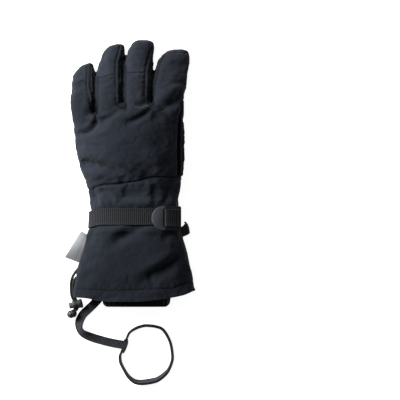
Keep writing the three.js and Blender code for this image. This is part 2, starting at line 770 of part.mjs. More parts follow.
/** The panels that the hand is sewn from: back, fingertips, sides between the fingers, palm and thumb. */
function handPieces(shell) {
  const thumbOuter = tube(thumbRows(), FINGER_SIDES, () => 0);
  const thumbCavity = tube(everyOther(thumbRows()), FINGER_CAVITY_SIDES, () => -THUMB_WALL);
  const seated = tube(BODY_ROWS, BODY_SIDES, () => SEAM_GAP);
  const wrist = bodyLine(WRIST_SEAM, CUFF_LENGTH, PALM_LENGTH);
  const far = KNUCKLE_Y + CUFF_LENGTH;
  const wide = WIDE * HAND_WIDTH;
  const hand = shell
    .intersect(prism([...wrist, new THREE.Vector2(wide, far), new THREE.Vector2(-wide, far)]))
    .subtract(seamCut(wrist));
  const fourchettes = CROTCHES.map((_, at) => fourchetteLines(at));
  const side = bodyLine(SIDE_SEAM, CUFF_LENGTH, PALM_LENGTH);
  const sideOutline = prism([...side, new THREE.Vector2(wide, -far)]);
  const between = fourchettes.map(({ left, right }) => prism([...left, ...[...right].reverse()]));
  const tips = FINGERS.map((finger) => prism(tipOutline(finger)));
  const cuts = [
    ...fourchettes.flatMap(({ left, right }) => [seamCut(left), seamCut(right)]),
    ...FINGERS.map((finger) => seamCut(fingerLine(finger, finger.crossSeam))),
    seamCut(side),
  ];
  const backs = cuts.reduce((rest, cut) => rest.subtract(cut), hand.intersect(halfSpace(true)));
  const minus = (whole, parts) => parts.reduce((rest, part) => rest.subtract(part), whole);
  const fronts = hand.intersect(halfSpace(false));
  const outlines = frontOutlines(far);
  const fingerBoxes = outlines.map((outline) => prism(outline));
  const frontCuts = outlines.map((outline) => seamCut([outline[0], outline[1]]));
  const fingerFronts = FINGERS.map((finger, at) =>
    piece(
      `finger_front_${finger.name}`,
      surface(minus(fronts.intersect(fingerBoxes[at]), frontCuts)),
      PALM_LEATHER,
    ),
  );
  const palm = minus(fronts, [...fingerBoxes, ...frontCuts, thumbCavity]);
  const thumb = thumbOuter.subtract(thumbCavity).subtract(seated);
  return [
    piece('back_panel', surface(minus(backs, [...between, ...tips, sideOutline])), SOFTSHELL),
    ...FINGERS.map((finger, at) =>
      piece(`fingertip_${finger.name}`, surface(minus(backs.intersect(tips[at]), between)), SOFTSHELL),
    ),
    ...between.map((outline, at) =>
      piece(
        `fourchette_${FINGERS[at].name}_${FINGERS[at + 1].name}`,
        surface(backs.intersect(outline)),
        SIDE_CLOTH,
      ),
    ),
    piece('side_gusset', surface(backs.intersect(sideOutline)), SIDE_CLOTH),
    piece('palm_panel', surface(palm), PALM_LEATHER),
    ...fingerFronts,
    piece('thumb_shell', surface(thumb), PALM_LEATHER),
  ];
}

/** The gauntlet in two halves, its hem band and the inner cuff. */
function cuffPieces(shell) {
  const hem = bodyLine(HEM_EDGE, 0, CUFF_LENGTH);
  const seam = bodyLine(HEM_SEAM, 0, CUFF_LENGTH);
  const wrist = bodyLine(WRIST_SEAM, CUFF_LENGTH, PALM_LENGTH);
  const band = shell.intersect(prism([...hem, ...[...seam].reverse()])).subtract(seamCut(seam));
  const gauntlet = shell
    .intersect(prism([...seam, ...[...wrist].reverse()]))
    .subtract(seamCut(seam))
    .subtract(seamCut(wrist));
  const seat = tube(CAVITY_ROWS, CAVITY_SIDES, (row) => -row.wall - SEAM_GAP);
  const mouth = {
    y: -INNER_CUFF_OUT,
    left: INNER_CUFF_MIDDLE - INNER_CUFF_WIDTH / 2,
    right: INNER_CUFF_MIDDLE + INNER_CUFF_WIDTH / 2,
    thick: INNER_CUFF_THICKNESS,
  };
  const rows = [mouth, bodyRow(INNER_CUFF_IN), bodyRow(INNER_CUFF_IN + CUFF_WALL)];
  const drawnIn = (row) => (row === mouth ? 0 : -CUFF_WALL);
  const sleeve = solid(loft(rows.map((row) => ring(row, drawnIn(row), CAVITY_SIDES))));
  const outside = prism(rectangle(-HAND_WIDTH, HAND_WIDTH, -CUFF_LENGTH, 0));
  const rim = sleeve.intersect(seat.add(outside));
  const past = rows.map((row, at) => ({ ...row, y: row.y + [-1, 0, 1][at] * SEAM_GAP }));
  const bore = past.map((row, at) => ring(row, drawnIn(rows[at]) - INNER_CUFF_WALL, CAVITY_SIDES));
  return [
    piece('gauntlet_back', surface(gauntlet.intersect(halfSpace(true))), SOFTSHELL),
    piece('gauntlet_palm', surface(gauntlet.intersect(halfSpace(false))), PALM_LEATHER),
    piece('hem_band', surface(band), SOFTSHELL),
    piece('inner_cuff', surface(rim.subtract(solid(loft(bore)))), CUFF_LINING),
  ];
}

/** The webbing round the wrist. */
function wristStrap() {
  const edges = [STRAP_MIDDLE_Y - WEBBING_WIDTH / 2, STRAP_MIDDLE_Y + WEBBING_WIDTH / 2];
  const places = [edges[0], ...BODY_ROWS.map((row) => row.y), edges[1]];
  const rows = places.filter((y) => y >= edges[0] && y <= edges[1]).map((y) => bodyRow(y));
  const band = solid(loft(rows.map((row) => ring(row, SEAM_GAP + WEBBING_THICKNESS, BODY_SIDES))));
  const seat = tube(BODY_ROWS, BODY_SIDES, () => SEAM_GAP);
  return piece('wrist_strap', surface(band.subtract(seat)), WEBBING);
}

/** The corners of a rectangle. */
function rectangle(left, right, low, high) {
  return [
    new THREE.Vector2(left, low),
    new THREE.Vector2(right, low),
    new THREE.Vector2(right, high),
    new THREE.Vector2(left, high),
  ];
}

/** The ladder buckle on the strap, and the webbing wrapped round its bar. */
function buckle() {
  const tabEnd = -BUCKLE_LENGTH / 2;
  const farEnd = BUCKLE_LENGTH / 2;
  const halfWide = BUCKLE_WIDTH / 2;
  const barFar = farEnd - BUCKLE_END_BAR - WEBBING_THICKNESS - 2 * SEAM_GAP;
  const tabNear = tabEnd + BUCKLE_TAB;
  const barNear = tabNear + BUCKLE_SLOT;
  const round = (x, y, wide, high, from) =>
    new THREE.EllipseCurve(x, y, wide, high, from, from + Math.PI / 2).getPoints(CORNER_STEPS);
  const cornerX = farEnd - BUCKLE_CORNER;
  const cornerY = halfWide - BUCKLE_CORNER;
  const outline = new THREE.Shape([
    ...round(cornerX, -cornerY, BUCKLE_CORNER, BUCKLE_CORNER, -Math.PI / 2),
    ...round(cornerX, cornerY, BUCKLE_CORNER, BUCKLE_CORNER, 0),
    ...round(tabNear, 0, BUCKLE_TAB, halfWide, Math.PI / 2),
    ...round(tabNear, 0, BUCKLE_TAB, halfWide, Math.PI).slice(1),
  ]);
  const slotHalf = WEBBING_WIDTH / 2 + 2 * SEAM_GAP;
  const slots = [
    [tabNear, barNear],
    [barFar, farEnd - BUCKLE_END_BAR],
  ];
  outline.holes = slots.map(([from, to], at) => {
    const half = slotHalf - at * SEAM_GAP;
    return new THREE.Path(rectangle(from, to, -half, half));
  });
  const frame = new THREE.ExtrudeGeometry(outline, {
    depth: BUCKLE_THICKNESS - 2 * BUCKLE_BEVEL,
    bevelThickness: BUCKLE_BEVEL,
    bevelSize: BUCKLE_BEVEL,
    bevelOffset: -BUCKLE_BEVEL,
    bevelSegments: 1,
  });
  frame.translate(0, 0, BUCKLE_BEVEL + 2 * SEAM_GAP + WEBBING_THICKNESS);

  const low = SEAM_GAP;
  const high = low + 2 * WEBBING_THICKNESS + BUCKLE_THICKNESS + 2 * SEAM_GAP;
  const reach = SEAM_GAP + WEBBING_THICKNESS;
  const inLow = low + WEBBING_THICKNESS;
  const inHigh = high - WEBBING_THICKNESS;
  const wrap = new THREE.Shape(rectangle(barNear - reach, barFar + reach, low, high));
  wrap.holes = [new THREE.Path(rectangle(barNear - SEAM_GAP, barFar + SEAM_GAP, inLow, inHigh))];
  const loop = new THREE.ExtrudeGeometry(wrap, { depth: WEBBING_WIDTH, bevelEnabled: false });
  loop.rotateX(Math.PI / 2);
  loop.translate(0, WEBBING_WIDTH / 2, 0);

  const x = BUCKLE_ACROSS * HAND_WIDTH;
  const row = bodyRow(STRAP_MIDDLE_Y);
  const across = (x - (row.left + row.right) / 2) / ((row.right - row.left) / 2);
  const up = (1 - Math.abs(across) ** SHARPNESS) ** (1 / SHARPNESS);
  const mounted = new THREE.Group();
  mounted.add(piece('buckle_frame', frame, BLACK_PLASTIC));
  mounted.add(piece('buckle_loop', loop, WEBBING));
  const top = restHeight(x, STRAP_MIDDLE_Y) + (up * row.thick) / 2;
  mounted.position.set(x, STRAP_MIDDLE_Y, top + BUCKLE_LIFT);
  mounted.rotation.y = THREE.MathUtils.degToRad(-BUCKLE_TILT_DEG);
  return mounted;
}

/** The plain label sewn into the little-finger side seam. */
function sideLabel() {
  const high = LABEL_LOW_Y + LABEL_LENGTH;
  const seamAt = (y) => bodyRow(y).left;
  const geometry = new THREE.ExtrudeGeometry(
    new THREE.Shape([
      new THREE.Vector2(seamAt(LABEL_LOW_Y) + CUFF_WALL, LABEL_LOW_Y),
      new THREE.Vector2(seamAt(high) + CUFF_WALL, high - CUFF_WALL),
      new THREE.Vector2(seamAt(high) - LABEL_TOP_OUT, high + CUFF_WALL),
      new THREE.Vector2(seamAt(LABEL_LOW_Y) - LABEL_LOW_OUT, LABEL_LOW_Y + LABEL_TOP_OUT),
    ]),
    { depth: LABEL_THICKNESS, bevelEnabled: false },
  );
  geometry.deleteAttribute('normal');
  geometry.deleteAttribute('uv');
  const height = restHeight(seamAt(LABEL_LOW_Y), LABEL_LOW_Y);
  geometry.translate(0, 0, height - LABEL_THICKNESS / 2);
  const seat = tube(BODY_ROWS, BODY_SIDES, () => SEAM_GAP);
  const label = solid(mergeVertices(geometry, MERGE_DISTANCE)).subtract(seat);
  return piece('side_label', surface(label), SILVER_LABEL);
}

/** The moulded clip on the index side seam, and the hook leaf that bends round it. */
function sideClip() {
  const seam = bodyRow(CLIP_LOW_Y).right;
  const high = CLIP_LOW_Y + CLIP_LENGTH;
  const height = restHeight(seam, CLIP_LOW_Y);
  const base = new THREE.ExtrudeGeometry(
    new THREE.Shape([
      new THREE.Vector2(seam - CLIP_OUT, CLIP_LOW_Y),
      new THREE.Vector2(seam + CLIP_OUT / 3, CLIP_LOW_Y),
      new THREE.Vector2(seam + CLIP_OUT, CLIP_LOW_Y + CLIP_LENGTH / 3),
      new THREE.Vector2(seam + (2 * CLIP_OUT) / 3, high),
      new THREE.Vector2(seam - CLIP_OUT, high),
    ]),
    { depth: CLIP_THICKNESS, bevelEnabled: false },
  );
  base.deleteAttribute('normal');
  base.deleteAttribute('uv');
  base.translate(0, 0, height - CLIP_THICKNESS / 2);
  const seat = tube(BODY_ROWS, BODY_SIDES, () => SEAM_GAP);
  const clip = solid(mergeVertices(base, MERGE_DISTANCE)).subtract(seat);

  const near = seam + CLIP_OUT + SEAM_GAP;
  const bend = new THREE.CatmullRomCurve3([
    new THREE.Vector3(near, CLIP_LOW_Y + CLIP_LENGTH / 3, height),
    new THREE.Vector3(near, CLIP_LOW_Y + (2 * CLIP_LENGTH) / 3, height),
    new THREE.Vector3(near - CLIP_OUT / 5, high + LEAF_REACH / 3, height),
    new THREE.Vector3(near - CLIP_OUT / 2, high + LEAF_REACH - LEAF_THICKNESS, height),
    new THREE.Vector3(near - CLIP_OUT, high + LEAF_REACH, height),
  ]);
  const rings = bend.getPoints(LEAF_STEPS).map((point, at) => {
    const along = bend.getTangent(at / LEAF_STEPS);
    const out = new THREE.Vector3(along.y, -along.x, 0);
    const inner = point.clone();
    const outer = point.clone().addScaledVector(out, LEAF_THICKNESS);
    const up = new THREE.Vector3(0, 0, LEAF_WIDTH / 2);
    return [inner.clone().sub(up), outer.clone().sub(up), outer.clone().add(up), inner.clone().add(up)];
  });
  return [
    piece('clip_base', surface(clip), BLACK_PLASTIC),
    piece('clip_leaf', loft(rings), GREY_PLASTIC),
  ];
}

/** A round cord along a route, made of straight steps. */
function cord(name, route, steps) {
  const path = new THREE.CatmullRomCurve3(route.map((point) => new THREE.Vector3(...point)));
  const section = new THREE.Shape();
  section.absarc(0, 0, DRAWCORD_DIAMETER / 2, 0, 2 * Math.PI);
  const round = new THREE.Shape(section.getSpacedPoints(CORD_SIDES).slice(0, CORD_SIDES));
  const geometry = new THREE.ExtrudeGeometry(round, { steps, bevelEnabled: false, extrudePath: path });
  return piece(name, geometry, CORD_CLOTH);
}

/** The drawcord's two strands, the lock with its sprung button, and the moulded end. */
function drawcord() {
  const bore = LOCK_RADIUS - LOCK_WALL;
  const half = LOCK_LENGTH / 2;
  const bottom = half - BUTTON_IN - BUTTON_TRAVEL - SEAM_GAP;
  const chamfer = LOCK_WALL / 2;
  const barrel = new THREE.LatheGeometry(
    [
      new THREE.Vector2(0, -half),
      new THREE.Vector2(LOCK_RADIUS - 2 * chamfer, -half),
      new THREE.Vector2(LOCK_RADIUS, 2 * chamfer - half),
      new THREE.Vector2(LOCK_RADIUS, half - chamfer),
      new THREE.Vector2(LOCK_RADIUS - chamfer, half),
      new THREE.Vector2(bore, half),
      new THREE.Vector2(bore, bottom),
      new THREE.Vector2(0, bottom),
    ],
    ROUND_SIDES,
  );
  const pin = bore - SEAM_GAP;
  const button = new THREE.LatheGeometry(
    [
      new THREE.Vector2(0, half - BUTTON_IN),
      new THREE.Vector2(pin, half - BUTTON_IN),
      new THREE.Vector2(pin, half + BUTTON_OUT - chamfer),
      new THREE.Vector2(pin - chamfer, half + BUTTON_OUT),
      new THREE.Vector2(0, half + BUTTON_OUT),
    ],
    ROUND_SIDES,
  );
  const lock = new THREE.Group();
  lock.add(piece('cord_lock', barrel, BLACK_PLASTIC));
  lock.add(piece('cord_lock_button', button, GREY_PLASTIC));
  lock.position.set(...CORD_LOCK_PLACE);
  lock.rotation.z = THREE.MathUtils.degToRad(CORD_LOCK_TURN_DEG - 90);
  const ball = new THREE.SphereGeometry(CORD_END_RADIUS, ROUND_SIDES, ROUND_SIDES / 2);
  const end = piece('cord_end', ball, BLACK_PLASTIC);
  end.position.set(...CORD_END_PLACE);
  return [
    cord('drawcord_upper', DRAWCORD_UPPER, DRAWCORD_STEPS),
    cord('drawcord_lower', DRAWCORD_LOWER, DRAWCORD_STEPS),
    lock,
    end,
  ];
}

/** A flat tape along a route. It lies on the surface where it is flat and stands on it where it is rolled. */
function tape(route, steps, thickness) {
  const path = new THREE.CatmullRomCurve3(route.map(({ x, y }) => new THREE.Vector3(x, y, 0)));
  const at = (share, name) => {
    const place = share * (route.length - 1);
    const low = Math.min(Math.floor(place), route.length - 2);
    return THREE.MathUtils.lerp(route[low][name] ?? 0, route[low + 1][name] ?? 0, place - low);
  };
  const rings = Array.from({ length: steps + 1 }, (_, step) => {
    const share = step / steps;
    const roll = THREE.MathUtils.degToRad(at(share, 'roll'));
    const along = path.getTangent(share);
    const side = new THREE.Vector3(-along.y, along.x, 0).normalize();
    const up = new THREE.Vector3(0, 0, 1);
    const wide = side.clone().multiplyScalar(Math.cos(roll)).addScaledVector(up, Math.sin(roll));
    const thick = up.clone().multiplyScalar(Math.cos(roll)).addScaledVector(side, -Math.sin(roll));
    const half = (Math.abs(Math.sin(roll)) * TAPE_WIDTH + Math.abs(Math.cos(roll)) * thickness) / 2;
    const middle = path.getPoint(share).setZ(TAPE_LIFT + half + at(share, 'z'));
    return [
      [-1, -1],
      [1, -1],
      [1, 1],
      [-1, 1],
    ].map(([w, t]) =>
      middle
        .clone()
        .addScaledVector(wide, (w * TAPE_WIDTH) / 2)
        .addScaledVector(thick, (t * thickness) / 2),
    );
  });
  return loft(rings);
}

/** The leash: the strap from the hem, the sewn join and the loop that stands on edge. */
function leash() {
  const standing = LEASH_JOIN.map((point) => ({ ...point, roll: 90 }));
  return [
    piece('leash_strap', tape(LEASH_STRAP, LEASH_STRAP_STEPS, TAPE_THICKNESS), CORD_CLOTH),
    piece('leash_join', tape(standing, LEASH_JOIN_STEPS, JOIN_THICKNESS), CORD_CLOTH),
    piece('leash_loop', tape(LEASH_LOOP, LEASH_LOOP_STEPS, LOOP_TAPE_THICKNESS), CORD_CLOTH),
  ];
}

const shell = gloveShell();
const glove = new THREE.Group();
glove.add(...handPieces(shell), ...cuffPieces(shell), wristStrap(), buckle());
glove.add(sideLabel(), ...sideClip());

// The origin lies under the middle of the glove, measured without the cords.
const box = new THREE.Box3().setFromObject(glove, true);
const middle = box.getCenter(new THREE.Vector3());
glove.add(...drawcord(), ...leash());
glove.position.set(-middle.x, -middle.y, -box.min.z);
glove.updateMatrixWorld(true);

export default glove;
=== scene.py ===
"""The looks of a padded ski glove for the left hand, lying palm down with its leash laid out beside it."""
import logging
import math
from dataclasses import dataclass, field
from enum import Enum
from typing import Any, Callable, Sequence

import bpy
import numpy as np
from mathutils import Matrix, Vector, noise
from mathutils.bvhtree import BVHTree
from mathutils.kdtree import KDTree


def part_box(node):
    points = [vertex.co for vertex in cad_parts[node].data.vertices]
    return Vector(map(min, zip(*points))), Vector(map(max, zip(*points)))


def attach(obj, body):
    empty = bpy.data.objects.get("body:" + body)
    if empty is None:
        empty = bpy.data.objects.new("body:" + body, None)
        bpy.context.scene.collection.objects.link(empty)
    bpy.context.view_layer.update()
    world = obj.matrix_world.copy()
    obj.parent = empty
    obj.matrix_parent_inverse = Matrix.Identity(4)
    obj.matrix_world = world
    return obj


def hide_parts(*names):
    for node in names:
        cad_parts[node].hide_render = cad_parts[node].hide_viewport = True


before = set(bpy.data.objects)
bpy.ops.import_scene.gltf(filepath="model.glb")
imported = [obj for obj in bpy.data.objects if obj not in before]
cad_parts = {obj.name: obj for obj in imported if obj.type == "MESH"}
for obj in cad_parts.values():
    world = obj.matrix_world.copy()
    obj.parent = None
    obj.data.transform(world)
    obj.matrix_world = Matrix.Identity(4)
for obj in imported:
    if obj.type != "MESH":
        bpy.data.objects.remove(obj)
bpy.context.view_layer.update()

LOG = logging.getLogger("glove")
MM = 0.001
ORIGIN = np.array([2.1275, 139.45, 0.0])
HAND_WIDTH = 125.0
CUFF_LENGTH = 124.0
PALM_LENGTH = 84.0
KNUCKLE_Y = CUFF_LENGTH + PALM_LENGTH
STRAP_Y = 91.9
SHARPNESS = 2.4


class Body(Enum):
    """The two bodies that pieces move with."""

    GLOVE = "glove"
    BUTTON = "lock_button"


class Slot(Enum):
    """The record's material slots."""

    SOFTSHELL = "softshell"
    SIDE = "side_cloth"
    PALM = "palm_leather"
    LINING = "cuff_lining"
    WEBBING = "webbing"
    BLACK = "black_plastic"
    GREY = "grey_plastic"
    LABEL = "silver_label"
    CORD = "cord_cloth"


# --- shader writing


class Value:
    """A shader socket that takes part in Python expressions."""

    def __init__(self, shader: "Shader", socket: Any) -> None:
        """Wraps a socket.

        Args:
            shader: The shader that the socket belongs to.
            socket: The output socket.
        """
        self.shader = shader
        self.socket = socket

    def _with(self, operation: str, other: "Value | float", swapped: bool = False) -> "Value":
        """Adds a Math node on this value and another.

        Args:
            operation: The Math node's operation.
            other: The other value.
            swapped: Whether the other value comes first.

        Returns:
            The result.
        """
        pair = (other, self) if swapped else (self, other)
        return self.shader.math(operation, *pair)

    def __add__(self, other: "Value | float") -> "Value":
        """Adds."""
        return self._with("ADD", other)

    __radd__ = __add__

    def __sub__(self, other: "Value | float") -> "Value":
        """Subtracts."""
        return self._with("SUBTRACT", other)

    def __rsub__(self, other: "Value | float") -> "Value":
        """Subtracts from a number."""
        return self._with("SUBTRACT", other, True)

    def __mul__(self, other: "Value | float") -> "Value":
        """Multiplies."""
        return self._with("MULTIPLY", other)

    __rmul__ = __mul__

    def __truediv__(self, other: "Value | float") -> "Value":
        """Divides."""
        return self._with("DIVIDE", other)

    def __pow__(self, other: "Value | float") -> "Value":
        """Raises to a power."""
        return self._with("POWER", other)


class Shader:
    """One material's node tree, written with expressions."""

    def __init__(self, name: str) -> None:
        """Starts a material with an empty Principled shader.

        Args:
            name: The material's name.
        """
        self.material = bpy.data.materials.new(name)
        self.material.use_nodes = True
        self.tree = self.material.node_tree
        self.tree.nodes.clear()
        self.output = self.tree.nodes.new("ShaderNodeOutputMaterial")
        self.surface = self.tree.nodes.new("ShaderNodeBsdfPrincipled")
        self.tree.links.new(self.surface.outputs[0], self.output.inputs["Surface"])

    def plug(self, socket: Any, value: Any) -> None:
        """Sets or links an input socket.

        Args:
            socket: The input socket.
            value: A number, a colour, a socket or a Value.
        """
        if isinstance(value, Value):
            self.tree.links.new(value.socket, socket)
        elif isinstance(value, bpy.types.NodeSocket):
            self.tree.links.new(value, socket)
        else:
            socket.default_value = value

    def node(self, kind: str, settings: dict[str, Any], inputs: dict[Any, Any], out: Any = 0) -> Value:
        """Adds a node.

        Args:
            kind: The node's type.
            settings: Its own settings, set first.
            inputs: Values or links of its sockets, by name or number.
            out: The output that is returned, by name or number.

        Returns:
            The output as a Value.
        """
        made = self.tree.nodes.new(kind)
        for name, value in settings.items():
            setattr(made, name, value)
        for name, value in inputs.items():
            self.plug(made.inputs[name], value)
        return Value(self, made.outputs[out])

    def math(self, operation: str, first: "Value | float", second: "Value | float" = 0.0) -> Value:
        """Adds a Math node.

        Args:
            operation: The node's operation.
            first: The first input.
            second: The second input.

        Returns:
            The result.
        """
        return self.node("ShaderNodeMath", {"operation": operation}, {0: first, 1: second})

    def clamp(self, value: Value) -> Value:
        """Keeps a value from 0 to 1."""
        return self.node("ShaderNodeClamp", {}, {"Value": value})

    def place(self) -> Value:
        """The point on the piece, in metres in the frame of the glove."""
        return self.node("ShaderNodeTexCoord", {}, {}, "Object")

    def axes(self, point: Value) -> tuple[Value, Value, Value]:
        """The three numbers of a point."""
        split = self.tree.nodes.new("ShaderNodeSeparateXYZ")
        self.plug(split.inputs[0], point)
        return tuple(Value(self, out) for out in split.outputs)

    def stretched(self, point: Value, scale: tuple[float, float, float], turn: float = 0.0) -> Value:
        """A point scaled along each axis after a turn about Z.

        Args:
            point: The point.
            scale: The factors along X, Y and Z.
            turn: The turn about Z, in radians.

        Returns:
            The new point.
        """
        inputs = {"Vector": point, "Scale": scale, "Rotation": (0.0, 0.0, turn)}
        return self.node("ShaderNodeMapping", {}, inputs)

    def cloud(self, point: Value, scale: float, detail: float = 3.0, rough: float = 0.55) -> Value:
        """Soft noise from 0 to 1.

        Args:
            point: Where it is read.
            scale: Its features to the metre.
            detail: Its octaves.
            rough: How strong the fine octaves are.

        Returns:
            The noise.
        """
        inputs = {"Vector": point, "Scale": scale, "Detail": detail, "Roughness": rough}
        return self.node("ShaderNodeTexNoise", {}, inputs, 0)

    def cells(self, point: Value, scale: float, feature: str = "F1") -> Value:
        """The distance to the nearest cell centre or edge."""
        return self.node("ShaderNodeTexVoronoi", {"feature": feature}, {"Vector": point, "Scale": scale}, "Distance")

    def blend(self, factor: "Value | float", first: Any, second: Any) -> Value:
        """Mixes two colours.

        Args:
            factor: The share of the second.
            first: The first colour.
            second: The second colour.

        Returns:
            The mixed colour.
        """
        made = self.tree.nodes.new("ShaderNodeMix")
        made.data_type = "RGBA"
        for at, value in ((0, factor), (6, first), (7, second)):
            self.plug(made.inputs[at], value)
        return Value(self, made.outputs[2])

    def relief(self, height: Value, depth: float, strength: float = 1.0) -> None:
        """Puts a fine relief on the surface.

        Args:
            height: The height, from 0 to 1.
            depth: What 1 stands for, in metres.
            strength: The share of the relief that shows.
        """
        inputs = {"Height": height, "Distance": depth, "Strength": strength}
        self.plug(self.surface.inputs["Normal"], self.node("ShaderNodeBump", {}, inputs))

    def seam(self) -> Value:
        """How near a point lies to a seam: 1 on it and 0 away from it. The materials use it for painted shade along the
        seam grooves.
        """
        return self.node("ShaderNodeAttribute", {"attribute_name": "seam"}, {}, "Fac")

    def finish(self, colour: Any, rough: Any, **fixed: float) -> bpy.types.Material:
        """Sets the colour, the roughness and the shader's fixed numbers.

        Args:
            colour: The base colour.
            rough: The roughness.
            fixed: Other sockets by name, with _ for a space.

        Returns:
            The material.
        """
        self.plug(self.surface.inputs["Base Color"], colour)
        self.plug(self.surface.inputs["Roughness"], rough)
        for name, value in fixed.items():
            self.surface.inputs[name.replace("_", " ")].default_value = value
        return self.material


def grey(level: float, blue: float = 0.0) -> tuple[float, float, float, float]:
    """A near-grey colour with a little more blue."""
    return (level, level * (1 + 0.3 * blue), level * (1 + blue), 1.0)


@dataclass(frozen=True)
class ShellCloth:
    """The matte woven shell cloth of the back and the gauntlet."""

    name: str
    dark: float
    light: float
    blue: float = 0.62
    pitch: float = 0.0011
    # How much brighter the back of the hand is painted, for the light that falls on it.
    back_light_gain: float = 1.55
    back: tuple[float, float] = (-0.066, 0.070)

    def make(self) -> bpy.types.Material:
        """Makes the material."""
        shader = Shader(self.name)
        point = shader.place()
        x, y, z = shader.axes(point)
        turn = 2 * math.pi / self.pitch
        across = shader.math("SINE", (x + z) * turn)
        along = shader.math("SINE", (y + z * 0.5) * turn)
        weave = across * along * 0.5 + 0.5
        broad = shader.cloud(point, 28.0, 4.0)
        fuzz = shader.cloud(point, 900.0, 2.0, 0.7)
        slub = shader.cloud(shader.stretched(point, (1.0, 0.22, 1.0)), 420.0, 2.0)
        tone = shader.clamp(broad * 0.45 + fuzz * 0.25 + slub * 0.25 + weave * 0.12 - 0.05)
        colour = shader.blend(tone, grey(self.dark, self.blue), grey(self.light, self.blue))
        lit_back_colour = shader.blend(tone, grey(self.dark * self.back_light_gain, self.blue), grey(self.light * self.back_light_gain, self.blue))
        # Painted light: between the gauntlet and the knuckles the cloth is made brighter, for the stronger light that
        # falls on the back of the hand.
        lit_back_mask = shader.clamp((y - self.back[0]) * 45) * shader.clamp((self.back[1] - y) * 30)
        colour = shader.blend(lit_back_mask, colour, lit_back_colour)
        # Painted shade: the cloth is darkened along the seams, where the grooves lie in shade.
        colour = shader.blend(shader.clamp(shader.seam() * 1.1), colour, grey(0.0008, 0.5))
        shader.relief(weave * 0.55 + fuzz * 0.7 + slub * 0.4, 0.00016, 0.8)
        return shader.finish(colour, 0.74 + fuzz * 0.16, Sheen_Weight=0.04, Sheen_Roughness=0.5,
                             Specular_IOR_Level=0.03)


@dataclass(frozen=True)
class StretchCloth:
    """The finer, darker cloth between the fingers and down the side."""

    name: str = "side stretch cloth"
    fingers_from: float = 0.070

    def make(self) -> bpy.types.Material:
        """Makes the material."""
        shader = Shader(self.name)
        point = shader.place()
        x, y, z = shader.axes(point)
        rib = shader.math("SINE", (x + y * 0.3 + z) * (2 * math.pi / 0.0009)) * 0.5 + 0.5
        fuzz = shader.cloud(point, 700.0, 2.0, 0.7)
        tone = shader.clamp(rib * 0.5 + fuzz * 0.5)
        # Painted light and shade: one cloth in two tones, dark down the side gusset that faces away from the key light
        # and brighter between the fingers, where the strips catch it.
        colour = shader.blend(tone, grey(0.0012, 0.85), grey(0.0045, 0.85))
        between = shader.blend(tone, grey(0.0042, 0.5), grey(0.0125, 0.5))
        colour = shader.blend(shader.clamp((y - self.fingers_from) * 80), colour, between)
        # Painted shade: the cloth is darkened along the seams, where the grooves lie in shade.
        colour = shader.blend(shader.seam() * 0.8, colour, grey(0.002))
        shader.relief(rib * 0.6 + fuzz * 0.5, 0.00012, 0.8)
        return shader.finish(colour, 0.7 + fuzz * 0.15, Sheen_Weight=0.02, Sheen_Roughness=0.5,
                             Specular_IOR_Level=0.02)


@dataclass(frozen=True)
class Leather:
    """The grained synthetic leather of the palm."""

    name: str = "palm leather"

    def make(self) -> bpy.types.Material:
        """Makes the material."""
        shader = Shader(self.name)
        point = shader.place()
        grain = shader.cells(point, 620.0, "DISTANCE_TO_EDGE")
        crease = shader.clamp(grain * 900.0 / 620.0 * 6.0)
        broad = shader.cloud(point, 60.0, 4.0)
        colour = shader.blend(shader.clamp(broad * 0.6 + crease * 0.4), grey(0.002, 0.6), grey(0.007, 0.6))
        # Painted shade: the leather is darkened along the seams, where the grooves lie in shade.
        colour = shader.blend(shader.seam() * 0.7, colour, grey(0.002))
        shader.relief(crease * 0.7 + broad * 0.3, 0.00018, 0.8)
        return shader.finish(colour, 0.55 + broad * 0.25, Specular_IOR_Level=0.08)


@dataclass(frozen=True)
class Knit:
    """The black knitted cloth of the inner cuff."""

    name: str = "cuff knit"

    def make(self) -> bpy.types.Material:
        """Makes the material."""
        shader = Shader(self.name)
        point = shader.place()
        x, y, _ = shader.axes(point)
        wale = shader.math("ABSOLUTE", shader.math("SINE", x * (math.pi / 0.0016)))
        course = shader.math("SINE", y * (2 * math.pi / 0.0012)) * 0.5 + 0.5
        fuzz = shader.cloud(point, 600.0, 2.0, 0.7)
        colour = shader.blend(shader.clamp(wale * 0.6 + fuzz * 0.4), grey(0.002, 0.1), grey(0.008, 0.1))
        shader.relief(wale * 0.7 + course * 0.2 + fuzz * 0.3, 0.0003, 0.9)
        return shader.finish(colour, 0.85, Sheen_Weight=0.03, Sheen_Roughness=0.5, Specular_IOR_Level=0.1)


@dataclass(frozen=True)
class RibbedTape:
    """Ribbed polyester webbing or tape, woven across its length."""

    name: str
    dark: float
    light: float
    pitch: float
    rough: float = 0.7

    def make(self) -> bpy.types.Material:
        """Makes the material."""
        shader = Shader(self.name)
        uv = shader.node("ShaderNodeTexCoord", {}, {}, "UV")
        along, across, _ = shader.axes(uv)
        rib = shader.math("COSINE", along * (2 * math.pi / self.pitch)) * 0.5 + 0.5
        thread = shader.math("SINE", across * (2 * math.pi / 0.0007)) * 0.5 + 0.5
        fuzz = shader.cloud(shader.place(), 800.0, 2.0, 0.7)
        # Partly painted light: the colour follows the ribs, bright on their crests and near black in the grooves
        # between them, a painted highlight and painted shade over the ribs' relief; the thread and fuzz terms are the
        # weave's own tone.
        tone = shader.clamp(rib ** 1.6 * 0.95 + thread * 0.06 + fuzz * 0.16 - 0.08)
        colour = shader.blend(tone, grey(self.dark, 0.3), grey(self.light, 0.3))
        shader.relief(rib * 0.3 + thread * 0.4 + fuzz * 0.3, 0.00018, 0.7)
        return shader.finish(colour, self.rough + fuzz * 0.2, Sheen_Weight=0.03, Specular_IOR_Level=0.12)


